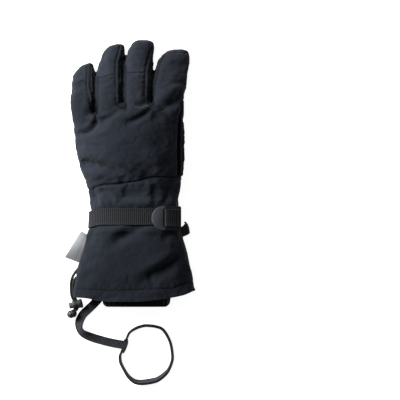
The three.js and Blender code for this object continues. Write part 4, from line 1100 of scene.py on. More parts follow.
@dataclass
class SoftBody:
    """Makes the sewn panels from the soft form."""

    form: SoftForm
    finishes: Finishes
    groove: float = 1.3
    groove_reach: float = 1.25
    puff_reach: float = 7.0
    search: float = 16.0
    cinch: float = 1.3
    welt: float = 0.7
    welt_at: float = 2.6
    welt_reach: float = 1.1
    hem_fuller: float = 1.9
    blow: ClothBlow = field(default_factory=ClothBlow)

    def seam_distances(self, points: np.ndarray) -> np.ndarray:
        """How far each point lies from each panel's CAD node, in millimetres."""
        found = np.full((len(points), len(PANELS)), 1e3)
        margin = self.search * MM
        for at, panel in enumerate(PANELS):
            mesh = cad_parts[panel.node].data
            tree = BVHTree.FromPolygons([v.co for v in mesh.vertices], [tuple(p.vertices) for p in mesh.polygons])
            low, high = (np.array(corner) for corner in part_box(panel.node))
            near = np.nonzero(np.all((points > low - margin) & (points < high + margin), axis=1))[0]
            for index in near:
                _, _, _, away = tree.find_nearest(Vector(points[index]), margin)
                if away is not None:
                    found[index, at] = away / MM
        return found

    def held(self, points: np.ndarray) -> np.ndarray:
        """How firmly the seams, the strap and the floor hold points of the cover, from 0 to 1."""
        seam = np.sort(self.seam_distances(points), axis=1)[:, 1]
        places = from_row(points)
        strap = np.exp(-(((places[:, 1] - strap_line(places[:, 0])) / 9.6) ** 6))
        under = np.clip(1 - places[:, 2] / 4.0, 0, 1)
        return np.max([np.exp(-((seam / 3.0) ** 2)), strap, under], axis=0)

    def fold_depths(self, places: np.ndarray) -> np.ndarray:
        """How far the folds press the cloth in, in millimetres, with the ridge beside each."""
        depth = np.zeros(len(places))
        for fold in FOLDS:
            start, end = np.array(fold.start), np.array(fold.end)
            line = end - start
            length = float(np.linalg.norm(line))
            offset = places[:, :2] - start
            along = offset @ line / length**2
            share = np.clip(along, 0, 1)
            side = (offset @ np.array([-line[1], line[0]]) / length - fold.bow * 4 * share * (1 - share)) / fold.reach
            away = np.hypot(side, (along - share) * length / fold.reach)
            taper = np.sqrt(np.clip(np.minimum(share, 1 - share) * 4 + 0.15, 0, 1))
            depth += fold.depth * taper * np.exp(-(away**2))
            crest = np.exp(-((side - 1.6) ** 2) / 0.8) * np.exp(-np.maximum(away - np.abs(side), 0) ** 2)
            depth -= fold.ridge * taper * crest * (away < 5)
        return depth

    def rumple(self, places: np.ndarray, seam: np.ndarray) -> np.ndarray:
        """Small uneven swells and puckers of worn cloth, in millimetres."""
        swell = np.array([noise.noise(Vector((x / 24, y / 17, z / 24))) for x, y, z in places])
        crease = np.array([noise.noise(Vector((x / 13 + 7, y / 8 + y * 0.01, z / 13))) for x, y, z in places])
        pucker = np.array([noise.noise(Vector((x / 3.2, y / 3.2, z / 3.2 + 40))) for x, y, z in places])
        sharp = -np.clip(0.16 - np.abs(crease), 0, 0.16) / 0.16
        return 0.7 * swell + 0.3 * sharp + 0.34 * pucker * np.exp(-((seam / 4.5) ** 2))

    def labels(self, form: bpy.types.Object, away: np.ndarray) -> np.ndarray:
        """The panel that each face belongs to, without stray faces."""
        mesh = form.data
        corners = np.array([tuple(p.vertices) for p in mesh.polygons])
        label = away[corners].sum(axis=1).argmin(axis=1)
        edges = np.sort(np.stack([corners, np.roll(corners, -1, axis=1)], axis=2).reshape(-1, 2), axis=1)
        faces = np.repeat(np.arange(len(corners)), 4)
        order = np.lexsort((edges[:, 1], edges[:, 0]))
        edges, faces = edges[order], faces[order]
        twin = np.all(edges[1:] == edges[:-1], axis=1)
        first, second = faces[:-1][twin], faces[1:][twin]
        for _ in range(6):
            votes = np.zeros((len(corners), len(PANELS)))
            votes[np.arange(len(corners)), label] += 1.5
            np.add.at(votes, (first, label[second]), 1)
            np.add.at(votes, (second, label[first]), 1)
            label = votes.argmax(axis=1)
        return label

    def even_seams(self, form: bpy.types.Object, label: np.ndarray, rounds: int = 9) -> None:
        """Draws the seam lines even, so that the panels meet in smooth lines.

        Args:
            form: The envelope.
            label: The panel of each face.
            rounds: How often the lines are evened.
        """
        mesh = form.data
        corners = np.array([tuple(p.vertices) for p in mesh.polygons])
        pairs = np.sort(np.stack([corners, np.roll(corners, -1, axis=1)], axis=2).reshape(-1, 2), axis=1)
        owner = np.repeat(label, 4)
        order = np.lexsort((pairs[:, 1], pairs[:, 0]))
        pairs, owner = pairs[order], owner[order]
        split = np.all(pairs[1:] == pairs[:-1], axis=1) & (owner[1:] != owner[:-1])
        seam = pairs[:-1][split]
        points = points_of(form)
        for _ in range(rounds):
            total, count = np.zeros_like(points), np.zeros(len(points))
            for one, other in ((0, 1), (1, 0)):
                np.add.at(total, seam[:, one], points[seam[:, other]])
                np.add.at(count, seam[:, one], 1)
            line = count == 2
            points[line] = points[line] * 0.4 + total[line] / 2 * 0.6
        move_points(form, points)

    def shape(self, form: bpy.types.Object) -> np.ndarray:
        """Presses the seams and folds into the envelope and swells the panels between them.

        Args:
            form: The envelope.

        Returns:
            The panel of each face.
        """
        points = points_of(form)
        away = self.seam_distances(points)
        label = self.labels(form, away)
        self.even_seams(form, label)
        points = points_of(form)
        away = self.seam_distances(points)
        order = np.sort(away, axis=1)
        seam = np.minimum(order[:, 1], 60.0)
        calm = np.where(from_row(points)[:, 1] < STRAP_Y, 0.55, 1.0)
        points = points + self.blow.run(form, self.held) * calm[:, None]
        move_points(form, points)
        places = from_row(points)
        normals = normals_of(form)
        puff = np.array([panel.puff for panel in PANELS])[away.argmin(axis=1)]
        up = np.clip(normals[:, 2] + 0.25, 0, 1)
        move = puff * (1 - np.exp(-((seam / self.puff_reach) ** 2))) - puff * 0.45
        faint = np.where(places[:, 1] < 25, 0.45, 1.0)
        move -= self.groove * faint * np.exp(-((seam / self.groove_reach) ** 2))
        nearest = away.argmin(axis=1)
        strips = np.isin(nearest, [at for at, panel in enumerate(PANELS) if panel.slot is Slot.SIDE]).astype(float)
        between = np.isin(nearest, [at for at, panel in enumerate(PANELS) if panel.node.startswith("fourchette")])
        strips *= np.where(between, np.clip((places[:, 1] - 214) / 8, 0, 1), 1.0)
        ridge = np.exp(-(((seam - self.welt_at) / self.welt_reach) ** 2))
        trough = np.exp(-(((seam - 2 * self.welt_at) / self.welt_reach) ** 2))
        move += strips * self.welt * (ridge - trough)
        # The seam attribute carries the painted shade of the seam grooves, fainter near the hem.
        seam_shade_mark = form.data.attributes.new("seam", "FLOAT", "POINT")
        seam_shade_mark.data.foreach_set("value", faint * np.exp(-((seam / 0.9) ** 2)))
        below = places[:, 1] - strap_line(places[:, 0])
        strap = np.exp(-((below / 9.6) ** 6))
        loose = 1 - strap
        move = move + loose * self.rumple(places, seam) - up * self.fold_depths(places) * loose
        beside = np.exp(-(((np.abs(below) - 15.5) / 5.0) ** 2))
        move = move * (1 - 0.8 * strap) - self.cinch * strap + 0.9 * beside
        under = np.clip(1 - places[:, 2] / 3.0, 0, 1)
        move *= 1 - under
        moved = points + normals * move[:, None] * MM
        corner = np.clip((-48 - places[:, 0]) / 8, 0, 1) * np.clip((24 - places[:, 1]) / 12, 0, 1)
        moved[:, 0] -= self.hem_fuller * corner * np.clip(places[:, 2] / 12, 0, 1) * MM
        moved[:, 2] = np.maximum(moved[:, 2], 0.0)
        move_points(form, moved)
        return label

    def build(self) -> None:
        """Makes the panels, each with its own wall."""
        form = self.form.envelope()
        LOG.info("soft form: %d faces", len(form.data.polygons))
        label = self.shape(form)
        points = points_of(form)
        near = np.zeros(len(points))
        form.data.attributes["seam"].data.foreach_get("value", near)
        places = from_row(points)
        corners = np.array([tuple(p.vertices) for p in form.data.polygons])
        edge = through(*zip(*HEM_EDGE), places[:, 0])
        kept = (places[:, 1] - edge)[corners].mean(axis=1) > 0
        rim = np.zeros(len(points), bool)
        rim[np.unique(corners[kept])] = True
        dropped = np.zeros(len(points), bool)
        dropped[np.unique(corners[~kept])] = True
        rim &= dropped
        places[rim, 1] = edge[rim]
        points = to_row(places)
        finish = {Slot.SOFTSHELL: self.finishes.shell, Slot.SIDE: self.finishes.side, Slot.PALM: self.finishes.palm}
        for at, panel in enumerate(PANELS):
            faces = corners[kept & (label == at)]
            used, back = np.unique(faces, return_inverse=True)
            piece = new_mesh(panel.name, points[used], back.reshape(faces.shape))
            piece.data.attributes.new("seam", "FLOAT", "POINT").data.foreach_set("value", near[used])
            apply_modifier(piece, "SOLIDIFY", thickness=self.form.wall * MM, offset=-1.0)
            smooth(piece, 40)
            material = finish[panel.slot]
            # The fingertip panels take the brighter, painted-light copy of the shell cloth.
            if panel.node.startswith("fingertip"):
                material = self.finishes.lit_tips
            if panel.node == "hem_band":
                material = self.finishes.hem
            settle(piece, material, panel.slot, panel.node)
        bpy.data.objects.remove(form)


# --- the inner cuff


@dataclass
class InnerCuff:
    """The soft knitted tube inside the gauntlet, gathered a little and rolled at its mouth."""

    form: SoftForm
    finishes: Finishes
    width: float = 73.0
    thickness: float = 28.0
    middle: float = 9.0
    out: float = 7.5
    deep: float = 58.0
    wall: float = 1.9
    sides: int = 180
    gather: float = 0.55
    corner: float = 3.2

    def ring(self, y: float, inset: float) -> np.ndarray:
        """One ring of the cuff in millimetres, drawn in by an inset."""
        share = (y + self.out) / (76 + self.out)
        end = [float(part[0]) for part in self.form.body_at(np.array([76.0]))]
        left = (self.middle - self.width / 2) * (1 - share) + (end[0] + 3) * share
        right = (self.middle + self.width / 2) * (1 - share) + (end[1] - 3) * share
        thick = self.thickness * (1 - share) + (end[2] - 6) * share
        values = [np.array([part]) for part in (y, left, right, thick)]
        ring = self.form.section(*values, self.sides, grow=-inset)[0]
        turn = np.linspace(0, 2 * math.pi, self.sides, endpoint=False)
        wave = np.cos(turn * 26) * 0.6 + np.cos(turn * 17 + y * 0.05) * 0.4
        middle = ring.mean(axis=0)
        outward = ring - middle
        outward /= np.linalg.norm(outward, axis=1)[:, None]
        ring = ring + outward * (self.gather * wave)[:, None]
        side = np.abs(ring[:, 0] - middle[0]) / (self.width / 2)
        ring[:, 1] += self.corner * np.clip((side - 0.86) / 0.14, 0, 1.2) ** 2 * max(0.0, 1 - share * 6)
        ring[:, 2] = np.maximum(ring[:, 2], 0.6)
        return ring

    def build(self) -> None:
        """Makes the cuff as one closed wall with a round lip."""
        lip = self.wall / 2
        turn = np.linspace(-math.pi / 2, math.pi / 2, 9)
        outer = [(y, 0.0) for y in np.linspace(self.deep, -self.out + 2 * lip, 34)]
        lipped = [(-self.out + lip - lip * math.cos(a) * 1.0, lip + lip * math.sin(a)) for a in turn]
        inner = [(y, self.wall) for y in np.linspace(-self.out + 2 * lip, self.deep, 34)]
        rings = np.array([self.ring(y, inset) for y, inset in outer + lipped + inner])
        count, sides, _ = rings.shape
        piece = new_mesh("inner_cuff_knit", to_row(rings.reshape(-1, 3)), loft_faces(count, sides, True))
        tidy_normals(piece, 1e-5)
        smooth(piece)
        settle(piece, self.finishes.knit, Slot.LINING, "inner_cuff")


# --- webbing, tapes and cords


@dataclass
class Ribbon:
    """A flat woven strap along a line, with ribs across it and a firmer edge."""

    name: str
    thickness: float
    pitch: float
    rib: float = 0.16
    closed: bool = False

    SECTION = ((-0.5, -0.22), (-0.487, -0.5), (-0.445, -0.5), (-0.41, -0.4), (-0.2, -0.4), (0.0, -0.4), (0.2, -0.4),
               (0.41, -0.4), (0.445, -0.5), (0.487, -0.5), (0.5, -0.22), (0.5, 0.22), (0.487, 0.5), (0.445, 0.5),
               (0.41, 0.4), (0.2, 0.4), (0.0, 0.4), (-0.2, 0.4), (-0.41, 0.4), (-0.445, 0.5), (-0.487, 0.5),
               (-0.5, 0.22))

    def build(self, centres: np.ndarray, wides: np.ndarray, outs: np.ndarray) -> bpy.types.Object:
        """Makes the strap.

        Args:
            centres: The middle line in millimetres, about four points to a rib.
            wides: The whole width at each point, as a vector.
            outs: The unit direction of the thickness at each point.

        Returns:
            The strap's object.
        """
        run = run_of(centres)
        total = run[-1] + (np.linalg.norm(centres[0] - centres[-1]) if self.closed else 0)
        ribs = max(round(total / self.pitch), 1)
        phase = np.cos(2 * math.pi * run / total * ribs)
        across = np.array([w for w, _ in self.SECTION])
        thick = np.array([t for _, t in self.SECTION])
        inner = (np.abs(across) < 0.43)[None, :]
        scale = 1 + self.rib * np.where(inner, phase[:, None], phase[:, None] * 0.25)
        points = (centres[:, None, :] + wides[:, None, :] * across[None, :, None]
                  + outs[:, None, :] * (self.thickness * thick[None, :] * scale)[:, :, None])
        count, sides, _ = points.shape
        piece = new_mesh(self.name, to_row(points.reshape(-1, 3)), loft_faces(count, sides, self.closed))
        width = np.linalg.norm(wides, axis=1)[:, None] * across[None, :] * MM
        along = np.repeat(run[:, None] * (self.pitch * ribs / total) * MM, sides, axis=1)
        add_uv(piece, np.stack([along, width], axis=2).reshape(-1, 2))
        choose(piece)
        bpy.ops.object.mode_set(mode="EDIT")
        bpy.ops.mesh.select_all(action="SELECT")
        bpy.ops.mesh.normals_make_consistent(inside=False)
        bpy.ops.object.mode_set(mode="OBJECT")
        smooth(piece, 50)
        return piece


@dataclass
class Leash:
    """The wrist leash: a flat tape from inside the cuff, a sewn join and a loop that stands on edge."""

    finishes: Finishes
    width: float = 9.5
    thickness: float = 2.2
    loop_thickness: float = 2.8
    lift: float = 0.25
    pitch: float = 1.4
    strap: tuple[tuple[float, float, float, float], ...] = (
        (-30.5, 4, 8.6, 0), (-34.4, -1.1, 8.4, 0), (-38.8, -5.6, 5.8, 0), (-44.2, -10.8, 1.8, 0),
        (-50, -16.5, 0, 8), (-54.0, -24.5, 0, 24), (-53.9, -31.8, 0, 50), (-50.0, -37.2, 0, 44),
        (-41.5, -41, 0, 16), (-30, -44.6, 0, 0), (-18, -47.6, 0, 0), (-4.6, -50.0, 0.4, 0),
    )
    join: tuple[tuple[float, float], ...] = ((-2.6, -43.6), (-2.4, -47.5), (-4.4, -53.5), (-6.8, -58))
    loop: tuple[tuple[float, float, float], ...] = (
        (-3.1, -46.4, 90), (-1.5, -42.2, 90), (1.5, -36.3, 90), (8.5, -31.5, 86), (17, -28.8, 86), (23.2, -28.7, 86),
        (30.6, -29.7, 86), (37.5, -32.3, 86), (42.7, -39.2, 86), (46.6, -48.1, 86), (48.5, -58.6, 86),
        (48.5, -66.6, 86), (45.3, -75.5, 84), (40.6, -81.7, 76), (32.7, -87.6, 70), (24.9, -89.9, 66),
        (13.8, -91.2, 68), (6.4, -89.7, 74), (0.1, -84.4, 82), (-4.6, -77, 86), (-8.4, -69.1, 86),
        (-9.1, -62.3, 87), (-7.6, -58.4, 90), (-5.6, -55.2, 90),
    )

    def tape(self, name: str, route: np.ndarray, thickness: float, pitch: float) -> tuple[bpy.types.Object, np.ndarray]:
        """A tape along a route of x, y, lift and roll.

        Args:
            name: The piece's name.
            route: The route in millimetres and degrees.
            thickness: The tape's thickness.
            pitch: The distance between its ribs.

        Returns:
            The piece and its middle line.
        """
        length = run_of(route[:, :2])[-1]
        line = spline(np.column_stack([route[:, 0], route[:, 1], route[:, 2], route[:, 3]]), int(length / pitch * 4))
        roll = np.radians(line[:, 3])
        along = np.gradient(line[:, :2], axis=0)
        along /= np.linalg.norm(along, axis=1)[:, None]
        side = np.column_stack([-along[:, 1], along[:, 0], np.zeros(len(line))])
        up = np.array([0.0, 0.0, 1.0])
        wide = side * np.cos(roll)[:, None] + up * np.sin(roll)[:, None]
        out = up * np.cos(roll)[:, None] - side * np.sin(roll)[:, None]
        half = (np.abs(np.sin(roll)) * self.width + np.abs(np.cos(roll)) * thickness) / 2
        centres = np.column_stack([line[:, 0], line[:, 1], self.lift + half + np.maximum(line[:, 2], 0)])
        piece = Ribbon(name, thickness, pitch, 0.14).build(centres, wide * self.width, out)
        return piece, centres

    def build(self) -> None:
        """Makes the leash: its tape, its loop and the sewn join."""
        strap_route = np.array(self.strap, float)
        loop_route = np.array([(x, y, 0.0, roll) for x, y, roll in self.loop], float)
        join_route = np.array([(x, y, 0.0, 90.0) for x, y in self.join], float)
        strap, strap_line = self.tape("leash_tape", strap_route, self.thickness, self.pitch)
        loop, loop_line = self.tape("leash_ring_tape", loop_route, self.loop_thickness, self.pitch)
        join, _ = self.tape("leash_sewn_join", join_route, 4.6, 0.9)
        settle(strap, self.finishes.tape, Slot.CORD, "leash_strap")
        settle(loop, self.finishes.tape, Slot.CORD, "leash_loop")
        settle(join, self.finishes.tape, Slot.CORD, "leash_join")


def matrix_at(place: Sequence[float], turn_z: float = 0.0, turn_y: float = 0.0) -> Matrix:
    """A placing matrix in metres from a place in millimetres from the middle of the hem.

    Args:
        place: The place.
        turn_z: A turn about Z, in radians.
        turn_y: A turn about Y that comes first, in radians.

    Returns:
        The matrix.
    """
    spot = Matrix.Translation(Vector(to_row(np.array(place, float))))
    return spot @ Matrix.Rotation(turn_z, 4, "Z") @ Matrix.Rotation(turn_y, 4, "Y")


def turned(name: str, profile: Sequence[tuple[float, float]], steps: int, placed: Matrix) -> bpy.types.Object:
    """A body of revolution, spun from a closed outline in millimetres about its own Z axis.

    Args:
        name: The piece's name.
        profile: Radius and height of each corner of the closed outline.
        steps: How many steps the spin has.
        placed: Where the piece goes.

    Returns:
        The piece.
    """
    deselect()
    bpy.ops.mesh.primitive_circle_add(vertices=len(profile), radius=MM, fill_type="NOTHING")
    piece = bpy.context.active_object
    piece.name = name
    for vertex, (radius, height) in zip(piece.data.vertices, profile):
        vertex.co = (max(radius, 0.02) * MM, 0.0, height * MM)
    bpy.ops.object.mode_set(mode="EDIT")
    bpy.ops.mesh.select_all(action="SELECT")
    bpy.ops.mesh.spin(steps=steps, angle=2 * math.pi, center=(0, 0, 0), axis=(0, 0, 1))
    bpy.ops.object.mode_set(mode="OBJECT")
    tidy_normals(piece, 2e-6)
    piece.data.transform(placed)
    return piece


@dataclass
class Drawcord:
    """The hem drawcord: two strands, a barrel lock with a sprung button, and a moulded end."""

    finishes: Finishes
    diameter: float = 3.1
    upper: tuple[tuple[float, float, float], ...] = (
        (-55.6, 33.6, 22.4), (-58.1, 30.4, 21.6), (-61.2, 25, 18.5), (-62.8, 18.5, 15), (-62.9, 10.5, 11),
        (-62.3, 4.5, 7.8), (-60.4, 0.2, 5.8), (-57.8, -4.2, 5.4), (-58.2, -9.4, 5.2), (-60.6, -12.6, 5.1),
    )
    lower: tuple[tuple[float, float, float], ...] = (
        (-57.0, 25.0, 20.4), (-59.6, 20.6, 18.4), (-60.6, 13.5, 14.2), (-60.4, 6.5, 10.3), (-59.2, 2.9, 7.6),
        (-57.6, 0.2, 6.0),
        (-55.2, -4.6, 5.4), (-56.4, -9.8, 5.2), (-59.4, -13.2, 5.1),
    )
    lock_place: tuple[float, float, float] = (-55.7, -4.7, 5.3)
    lock_turn: float = 193.0
    lock_radius: float = 5.2
    lock_half: float = 5.5
    button_out: float = 4.4
    end_place: tuple[float, float, float] = (-62.1, -15.6, 5.5)
    end_radius: float = 5.25

    def strand(self, name: str, route: Sequence[Sequence[float]]) -> tuple[bpy.types.Object, np.ndarray]:
        """One round strand.

        Args:
            name: The piece's name.
            route: Its chosen points in millimetres.

        Returns:
            The piece and its middle line.
        """
        line = spline(route, 90)
        sides = 12
        along = np.gradient(line, axis=0)
        along /= np.linalg.norm(along, axis=1)[:, None]
        side = np.cross(along, np.array([0.0, 0.0, 1.0]))
        side /= np.linalg.norm(side, axis=1)[:, None]
        up = np.cross(side, along)
        turn = np.linspace(0, 2 * math.pi, sides, endpoint=False)
        run = run_of(line)
        swell = 1 + 0.03 * np.cos(run[:, None] * 2 * math.pi / 1.1 + turn[None, :] * 3)
        ring = (side[:, None, :] * np.cos(turn)[None, :, None] + up[:, None, :] * np.sin(turn)[None, :, None])
        points = line[:, None, :] + ring * (self.diameter / 2 * swell)[:, :, None]
        piece = new_mesh(name, to_row(points.reshape(-1, 3)), loft_faces(len(line), sides, False))
        grid = np.stack(np.broadcast_arrays(run[:, None] * MM, turn[None, :] / (2 * math.pi)), axis=2)
        add_uv(piece, grid.reshape(-1, 2))
        choose(piece)
        bpy.ops.object.mode_set(mode="EDIT")
        bpy.ops.mesh.select_all(action="SELECT")
        bpy.ops.mesh.normals_make_consistent(inside=False)
        bpy.ops.object.mode_set(mode="OBJECT")
        smooth(piece, 50)
        return piece, line

    def build(self) -> None:
        lying = matrix_at(self.lock_place, math.radians(self.lock_turn), math.pi / 2)
        lock = self.lock(lying)
        button = self.button(lying)
        end = self.end()
        for name, route, node in (("drawcord_long_strand", self.upper, "drawcord_upper"),
                                  ("drawcord_short_strand", self.lower, "drawcord_lower")):
            piece, line = self.strand(name, route)
            settle(piece, self.finishes.braid, Slot.CORD, node)

    def lock(self, placed: Matrix) -> bpy.types.Object:
        """The barrel of the cord lock, with two collars and a blind bore."""
        r, half = self.lock_radius, self.lock_half
        bore, bottom = r - 1.4, half - 6.2 - 2.5 - 0.3
        profile = [(0, -half), (r - 1.6, -half), (r - 0.8, -half + 0.3), (r - 0.15, -half + 1.1), (r, -half + 1.9),
                   (r, -half + 2.6), (r - 0.5, -half + 3.0), (r - 0.55, half - 4.2), (r - 0.1, half - 3.8),
                   (r, half - 3.3), (r, half - 0.9), (r - 0.25, half - 0.3), (r - 0.8, half), (bore + 0.25, half),
                   (bore, half - 0.25), (bore, bottom), (0, bottom)]
        piece = turned("cord_lock_barrel", profile, 40, placed)
        smooth(piece, 35)
        return settle(piece, self.finishes.black, Slot.BLACK, "cord_lock")

    def button(self, placed: Matrix) -> bpy.types.Object:
        """The sprung button, with grip rings."""
        half, out = self.lock_half, self.button_out
        pin = self.lock_radius - 1.7
        top = half + out
        profile = [(0, half - 6.2), (pin, half - 6.2), (pin, half + 0.6), (pin - 0.35, half + 0.9),
                   (pin - 0.35, half + 1.2), (pin, half + 1.5), (pin, half + 2.0), (pin - 0.35, half + 2.3),
                   (pin - 0.35, half + 2.6), (pin, half + 2.9), (pin, top - 0.8), (pin - 0.25, top - 0.3),
                   (pin - 0.8, top), (pin - 1.6, top - 0.1), (pin - 2.0, top - 0.5), (0, top - 0.6)]
        piece = turned("cord_lock_push", profile, 40, placed)
        smooth(piece, 35)
        return settle(piece, self.finishes.grey, Slot.GREY, "cord_lock_button", body=Body.BUTTON)

    def end(self) -> bpy.types.Object:
        """The moulded end of the cord: a fluted knob with a flat collar."""
        r = self.end_radius
        turn = np.linspace(-math.pi / 2, math.pi / 2, 26)
        profile = [(r * math.cos(a), r * 1.06 * math.sin(a)) for a in turn]
        placed = matrix_at(self.end_place, math.radians(20), math.pi / 2)
        piece = turned("drawcord_end_knob", profile, 48, Matrix.Identity(4))
        points = points_of(piece) / MM
        round_turn = np.arctan2(points[:, 1], points[:, 0])
        level = points[:, 2] / r
        flute = 0.05 * np.cos(round_turn * 6) * np.clip(1 - level**2, 0, 1)
        waist = -0.2 * np.exp(-((level / 0.13) ** 2))
        points[:, :2] *= (1 + flute + waist)[:, None]
        points[:, 1] *= 0.93
        move_points(piece, points * MM)
        piece.data.transform(placed)
        smooth(piece, 40)
        return settle(piece, self.finishes.black, Slot.BLACK, "cord_end")


# --- the wrist strap and its buckle


@dataclass
class WristStrap:
    """The ribbed webbing round the wrist, the ladder buckle and the webbing round its bar."""

    form: SoftForm
    finishes: Finishes
    width: float = 18.7
    thickness: float = 1.8
    gap: float = 0.3
    pitch: float = 2.2
    tilt: float = 22.0
    frame_thick: float = 3.0
    frame_middle: float = 3.9
    frame_drop: float = 1.6

    def strap(self) -> None:
        """Makes the webbing round the wrist."""
        edges = np.array([STRAP_Y - self.width / 2, STRAP_Y + self.width / 2])
        grow = self.gap + self.thickness / 2
        low, high = self.form.section(edges, *self.form.body_at(edges), 900, grow=grow)
        middle = (low + high) / 2
        count = int(run_of(middle)[-1] / self.pitch * 4)
        gone = run_of(np.vstack([middle, middle[:1]]))
        at = np.linspace(0, gone[-1], count, endpoint=False)
        closed_low, closed_high = np.vstack([low, low[:1]]), np.vstack([high, high[:1]])
        low, high = (np.column_stack([np.interp(at, gone, side[:, axis]) for axis in range(3)])
                     for side in (closed_low, closed_high))
        centres, wides = (low + high) / 2, high - low
        along = np.roll(centres, -1, axis=0) - np.roll(centres, 1, axis=0)
        outs = np.cross(wides, along)
        outs /= np.linalg.norm(outs, axis=1)[:, None]
        outward = centres - centres.mean(axis=0)
        outs *= np.sign((outs * outward).sum(axis=1))[:, None]
        centres[:, 2] = np.maximum(centres[:, 2], 1.1)
        centres[:, 1] += strap_line(centres[:, 0]) - STRAP_Y
        piece = Ribbon("wrist_webbing", self.thickness, self.pitch, 0.2, closed=True).build(centres, wides, outs)
        settle(piece, self.finishes.webbing, Slot.WEBBING, "wrist_strap")

    def placed(self) -> Matrix:
        """The placing matrix of the buckle, from its CAD node."""
        low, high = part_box("buckle_frame")
        turn = Matrix.Rotation(math.radians(self.tilt), 4, "Y")
        middle = (low + high) / 2 - Vector((0.5 * MM, self.frame_drop * MM, 0))
        return Matrix.Translation(middle) @ turn @ Matrix.Translation((0, 0, -self.frame_middle * MM))

    def buckle(self) -> None:
        """Makes the moulded ladder buckle: a crowned round tab, side rails and bars."""
        xs = [-17, -16.2, -14.6, -12.2, -9.4, -6.6, -4.5, -2.4, -1.3, 3, 8, 12.4, 14.8, 15.6, 17]
        ys = [-13, -12.1, -9.95, -6.6, -3.3, 0, 3.3, 6.6, 9.95, 12.1, 13]
        deselect()
        bpy.ops.mesh.primitive_grid_add(x_subdivisions=len(xs) - 1, y_subdivisions=len(ys) - 1, size=MM)
        piece = bpy.context.active_object
        piece.name = "ladder_buckle"
        for index, vertex in enumerate(piece.data.vertices):
            x, y = xs[index % len(xs)], ys[index // len(xs)]
            if x < -4.5:
                y *= max(math.sqrt(max(1 - ((-4.5 - x) / 12.5) ** 2, 0)), 0.2)
            if x > 15:
                y *= 1 - 0.09 * ((x - 15) / 2) ** 2
            crown = 0.9 * max(0.0, 1 - ((x + 10) / 8.5) ** 2) * (1 - (y / 13) ** 2) if x < -3 else 0.0
            vertex.co = (x * MM, y * MM, crown * MM)
        bpy.ops.object.mode_set(mode="EDIT")
        bpy.ops.mesh.select_all(action="DESELECT")
        bpy.ops.object.mode_set(mode="OBJECT")
        for polygon in piece.data.polygons:
            x, y, _ = polygon.center / MM
            polygon.select = abs(y) < 9.9 and (-4.4 < x < -1.4 or 12.5 < x < 14.7)
        bpy.ops.object.mode_set(mode="EDIT")
        bpy.ops.mesh.select_mode(type="FACE")
        bpy.ops.mesh.delete(type="FACE")
        bpy.ops.object.mode_set(mode="OBJECT")
        apply_modifier(piece, "SOLIDIFY", thickness=self.frame_thick * MM, offset=0.0)
        apply_modifier(piece, "BEVEL", width=0.55 * MM, segments=2, limit_method="ANGLE", angle_limit=math.radians(50))
        apply_modifier(piece, "SUBSURF", levels=2, render_levels=2)
        piece.data.transform(self.placed() @ Matrix.Translation((0, 0, self.frame_middle * MM)))
        smooth(piece, 50)
        settle(piece, self.finishes.tab, Slot.BLACK, "buckle_frame")

    def wrap(self) -> None:
        """Makes the webbing that is wrapped round the buckle's bar."""
        near, far = -1.3 - self.gap - self.thickness / 2, 12.4 + self.gap + self.thickness / 2
        low, high = self.gap + self.thickness / 2, 7.5 - self.thickness / 2
        r = 1.9
        corners = ((far - r, high - r, 90, 0), (far - r, low + r, 0, -90), (near + r, low + r, -90, -180),
                   (near + r, high - r, 180, 90))
        outline = []
        for x, z, start, stop in corners:
            for angle in np.radians(np.linspace(start, stop, 9)):
                outline.append((x + r * math.cos(angle), 0.0, z + r * math.sin(angle)))
        line = np.array(outline + outline[:1])
        gone = run_of(line)
        at = np.linspace(0, gone[-1], int(gone[-1] / self.pitch * 4), endpoint=False)
        centres = np.column_stack([np.interp(at, gone, line[:, axis]) for axis in range(3)])
        along = np.roll(centres, -1, axis=0) - np.roll(centres, 1, axis=0)
        wides = np.tile([0.0, self.width, 0.0], (len(centres), 1))
        outs = np.cross(along, wides)
        outs /= np.linalg.norm(outs, axis=1)[:, None]
        centres[:, 2] += 0.35 * np.exp(-(((centres[:, 0] - 4) / 6) ** 2)) * (centres[:, 2] > 4)
        ribbon = Ribbon("buckle_webbing", self.thickness, self.pitch, 0.2, closed=True)
        piece = ribbon.build(centres + ORIGIN, wides, outs)
        piece.data.transform(self.placed())
        settle(piece, self.finishes.webbing, Slot.WEBBING, "buckle_loop")

    def build(self) -> None:
        """Makes the strap, the buckle and the webbing on it."""
        self.strap()
        self.buckle()
        self.wrap()


# --- the side label and the side clip


@dataclass
class SideLabel:
    """The bare silvery label sewn into the side seam."""

    finishes: Finishes
    corners: tuple[tuple[float, float], ...] = ((-51.3, 40), (-41.65, 70), (-51.65, 76), (-69.8, 47))
    height: float = 23.9
    droop: float = 2.4
    thick: float = 0.5
    across: int = 26
    along: int = 46

    def build(self) -> None:
        """Makes the label as a thin, slightly curled cloth."""
        low_in, high_in, high_out, low_out = (np.array(corner, float) for corner in self.corners)
        points = []
        for v in np.linspace(0, 1, self.along + 1):
            inner, outer = low_in + (high_in - low_in) * v, low_out + (high_out - low_out) * v
            for u in np.linspace(0, 1, self.across + 1):
                x, y = inner + (outer - inner) * u
                curl = self.droop * (0.2 - u**2) + 0.7 * math.sin(v * 5.2 + u) * u + 0.5 * math.sin(v * math.pi)
                stitch = -0.22 * math.exp(-(((u - 0.36) / 0.02) ** 2))
                points.append((x, y, self.height + curl + stitch))
        faces = []
        for row in range(self.along):
            for column in range(self.across):
                first = row * (self.across + 1) + column
                faces.append([first, first + 1, first + self.across + 2, first + self.across + 1])
        piece = new_mesh("side_label_cloth", to_row(np.array(points)), faces)
        apply_modifier(piece, "SOLIDIFY", thickness=self.thick * MM, offset=0.0)
        apply_modifier(piece, "BEVEL", width=0.15 * MM, segments=2, limit_method="ANGLE",
                       angle_limit=math.radians(60))
        tidy_normals(piece)
        smooth(piece, 50)
        settle(piece, self.finishes.label, Slot.LABEL, "side_label")


